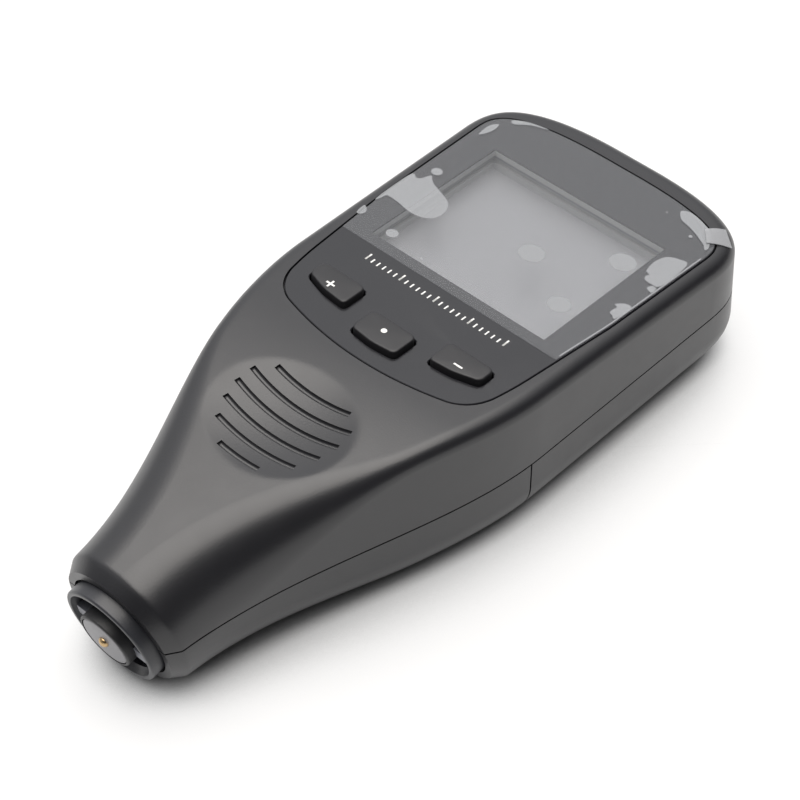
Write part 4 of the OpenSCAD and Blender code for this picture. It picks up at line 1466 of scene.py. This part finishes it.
def key_cap(name):
    """Key from its flange to its domed top."""
    levels = [(FLANGE_LAP, KEY_BASE), (FLANGE_LAP, KEY_BASE + FLANGE_T), (0.0, KEY_BASE + FLANGE_T)]
    turns = [math.pi / 2 * i / RIM_STEPS for i in range(RIM_STEPS + 1)]
    levels += [(KEY_SOFT * (math.cos(a) - 1), KEY_RISE + KEY_SOFT * (math.sin(a) - 1)) for a in turns]
    loops = [(key_outline(name, grow), z) for grow, z in levels]
    rim = key_outline(name, -KEY_SOFT)
    for i in range(1, DOME_RINGS + 1):
        s = 1 - i / (DOME_RINGS + 0.5)
        loops.append(([(x * s, y * s) for x, y in rim], KEY_RISE + KEY_CROWN * (1 - s * s)))
    return stacked(name + "_cap", loops, on_key(name))


for name in KEYS:
    dress(key_cap(name), key_abs, name + "_body", [name])

# %% Marks on the keys
MARK_Z = (KEY_RISE - 0.05, KEY_RISE + KEY_CROWN + 0.012)
BAR_X = (-0.85, 0.85)
BAR_Y = (-0.95, -0.6)
UPRIGHT_X = (-0.175, 0.175)
UPRIGHT_Y = (-1.6, 0.05)
DOT_D = 1.0
plus = box("plus_mark", *BAR_X, *BAR_Y, *MARK_Z, on_key("key_left"))
carve(plus, [box("upright", *UPRIGHT_X, *UPRIGHT_Y, *MARK_Z, on_key("key_left"))], "UNION")
dress(plus, ink_white, "key_left_body")
dot = round_rod("dot_mark", DOT_D, *MARK_Z, on_key("key_middle"), 32)
dress(dot, ink_white, "key_middle_body")
minus = box("minus_mark", *BAR_X, *BAR_Y, *MARK_Z, on_key("key_right"))
dress(minus, ink_white, "key_right_body")

# %% [markdown]
# ## Probe
# The collar, the plunger and its pale face are turned about the probe's axis, with the rounded
# edges that show as thin bright lines. The collar's mouth is flared, which shows a light ring inside
# its lip. Spinning a profile is the quickest way to a true round with exact edges.

# %% Turned pieces of the probe
TURN_STEPS = 128
COLLAR_FLARE = 0.7
FLARE_DEPTH = 1.2
LIP_R = 0.15
COLLAR_EDGE = 0.4
STOP_R = 6.3
STOP_Z = (9.1, 10.8)
SLEEVE_T = 0.45
BARREL_EDGE = 0.3
TIP_HOLE_R = 0.9
FACE_T = 1.5
FACE_EDGE = 0.4


def corner(r, z, radius, start, steps=6):
    """Quarter round about a centre, from a start angle in degrees, against the clock."""
    angles = [math.radians(start + 90 * i / steps) for i in range(steps + 1)]
    return [(r + radius * math.cos(a), z + radius * math.sin(a)) for a in angles]


collar_front = -collar_reach
collar_r = collar_d / 2
bore_r = collar_bore / 2
mouth_r = bore_r + COLLAR_FLARE
collar_profile = [(bore_r, seat_depth), (bore_r, collar_front + FLARE_DEPTH)]
collar_profile += corner(mouth_r + LIP_R, collar_front + LIP_R, LIP_R, 180)
collar_profile += corner(collar_r - COLLAR_EDGE, collar_front + COLLAR_EDGE, COLLAR_EDGE, 270)
collar_profile += [(collar_r, seat_depth)]
collar = turned("probe_collar_skin", collar_profile, probe_frame, TURN_STEPS)
dress(collar, collar_abs, "casing", ["probe_collar"])

face_front = collar_front - probe_reach
barrel_r = barrel_d / 2
sleeve_r = barrel_r - SLEEVE_T
barrel_profile = [(sleeve_r, STOP_Z[1]), (sleeve_r, face_front)]
barrel_profile += corner(barrel_r - BARREL_EDGE, face_front + BARREL_EDGE, BARREL_EDGE, 270)
barrel_profile += [(barrel_r, STOP_Z[0]), (STOP_R, STOP_Z[0]), (STOP_R, STOP_Z[1])]
barrel = turned("probe_barrel_skin", barrel_profile, probe_frame, TURN_STEPS)
dress(barrel, barrel_nylon, "probe", ["probe_barrel"])

disc_r = sleeve_r - 0.01
pale_profile = [(TIP_HOLE_R, face_front + FACE_T), (TIP_HOLE_R, face_front)]
pale_profile += corner(disc_r - FACE_EDGE, face_front + FACE_EDGE, FACE_EDGE, 270)
pale_profile += [(disc_r, face_front + FACE_T)]
pale = turned("probe_face_skin", pale_profile, probe_frame, TURN_STEPS)
dress(pale, face_resin, "probe", ["probe_face"])

# %% [markdown]
# ## Springs
# A coil spring pushes the probe out, and two smaller ones press on the cells. Each is a round wire
# along a spiral, so a third tree makes them all from their turns, radius, length and wire.

# %% Coil springs
coil, given, coil_in = start_tree("coil_spring", {
    "Turns": "Float", "Radius": "Float", "Length": "Float", "Wire": "Float", "Finish": "Material"})
spiral = add(coil, "GeometryNodeCurveSpiral", {"Resolution": 32}, {
    "Rotations": given["Turns"], "Start Radius": given["Radius"],
    "End Radius": given["Radius"], "Height": given["Length"]})
circle = add(coil, "GeometryNodeCurvePrimitiveCircle", {"Resolution": 12}, {"Radius": given["Wire"]})
wire = add(coil, "GeometryNodeCurveToMesh", {"Fill Caps": True}, {
    "Curve": spiral.outputs[0], "Profile Curve": circle.outputs["Curve"]})
end_tree(coil, wire.outputs[0], given["Finish"])


def spring(name, z0, z1, place, turns, outer_d, wire_d):
    """Coil spring between two heights of a frame, as a plain mesh."""
    made = from_tree(name, coil, coil_in, {
        "Turns": turns, "Radius": (outer_d - wire_d) / 2 * MM, "Length": (z1 - z0 - wire_d) * MM,
        "Wire": wire_d / 2 * MM, "Finish": spring_steel})
    made.data.transform(in_metres(place @ Matrix.Translation((0, 0, z0 + wire_d / 2))))
    return made


print("spring tree inputs:", ", ".join(coil_in))

# %% Contact springs
CELL_PITCH = 11.4
CELL_Z = 7.65
PLATE_T = 0.4
CONTACT_ROOM = 4.7
CONTACT_GAP = 0.02
CONTACT_COIL = {"turns": 3.0, "outer_d": 5.6, "wire_d": 0.5}
quarter = math.pi / 2
near_end = (Matrix.Translation((-CELL_PITCH / 2, seam_y + PLATE_T, CELL_Z))
            @ Matrix.Rotation(-quarter, 4, "X"))
far_end = (Matrix.Translation((CELL_PITCH / 2, BAY_END - PLATE_T, CELL_Z))
           @ Matrix.Rotation(quarter, 4, "X"))
contacts = joined("contact_coils", [
    spring(name, CONTACT_GAP, CONTACT_ROOM - CONTACT_GAP, place, **CONTACT_COIL)
    for name, place in (("near_coil", near_end), ("far_coil", far_end))
])
dress(contacts, spring_steel, "casing", ["contact_springs"], 60.0)

# %% Return spring of the probe
SPRING_FROM = 10.81
SPRING_TO = chamber_depth - 0.01
RETURN_COIL = {"turns": 7.0, "outer_d": 10.6, "wire_d": 0.8}
return_spring = spring("probe_return_coil", SPRING_FROM, SPRING_TO, probe_frame, **RETURN_COIL)
dress(return_spring, spring_steel, "casing", ["probe_spring"], 60.0)
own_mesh(return_spring)

# %% [markdown]
# ## Remaining pieces
# The probe's guide, tip, core and coil, the cells, their contact plates and the screws keep their
# CAD solids, which are plain turned or flat shapes. They only get their finishes.

# %% Remaining CAD nodes
refinish({
    "probe_guide": guide_acetal, "probe_tip": brass, "probe_core": soft_iron, "probe_coil": winding,
    "battery_cell_left": sleeve, "battery_cell_right": sleeve, "contact_plates": plated_steel,
    "case_screws": plated_steel,
})
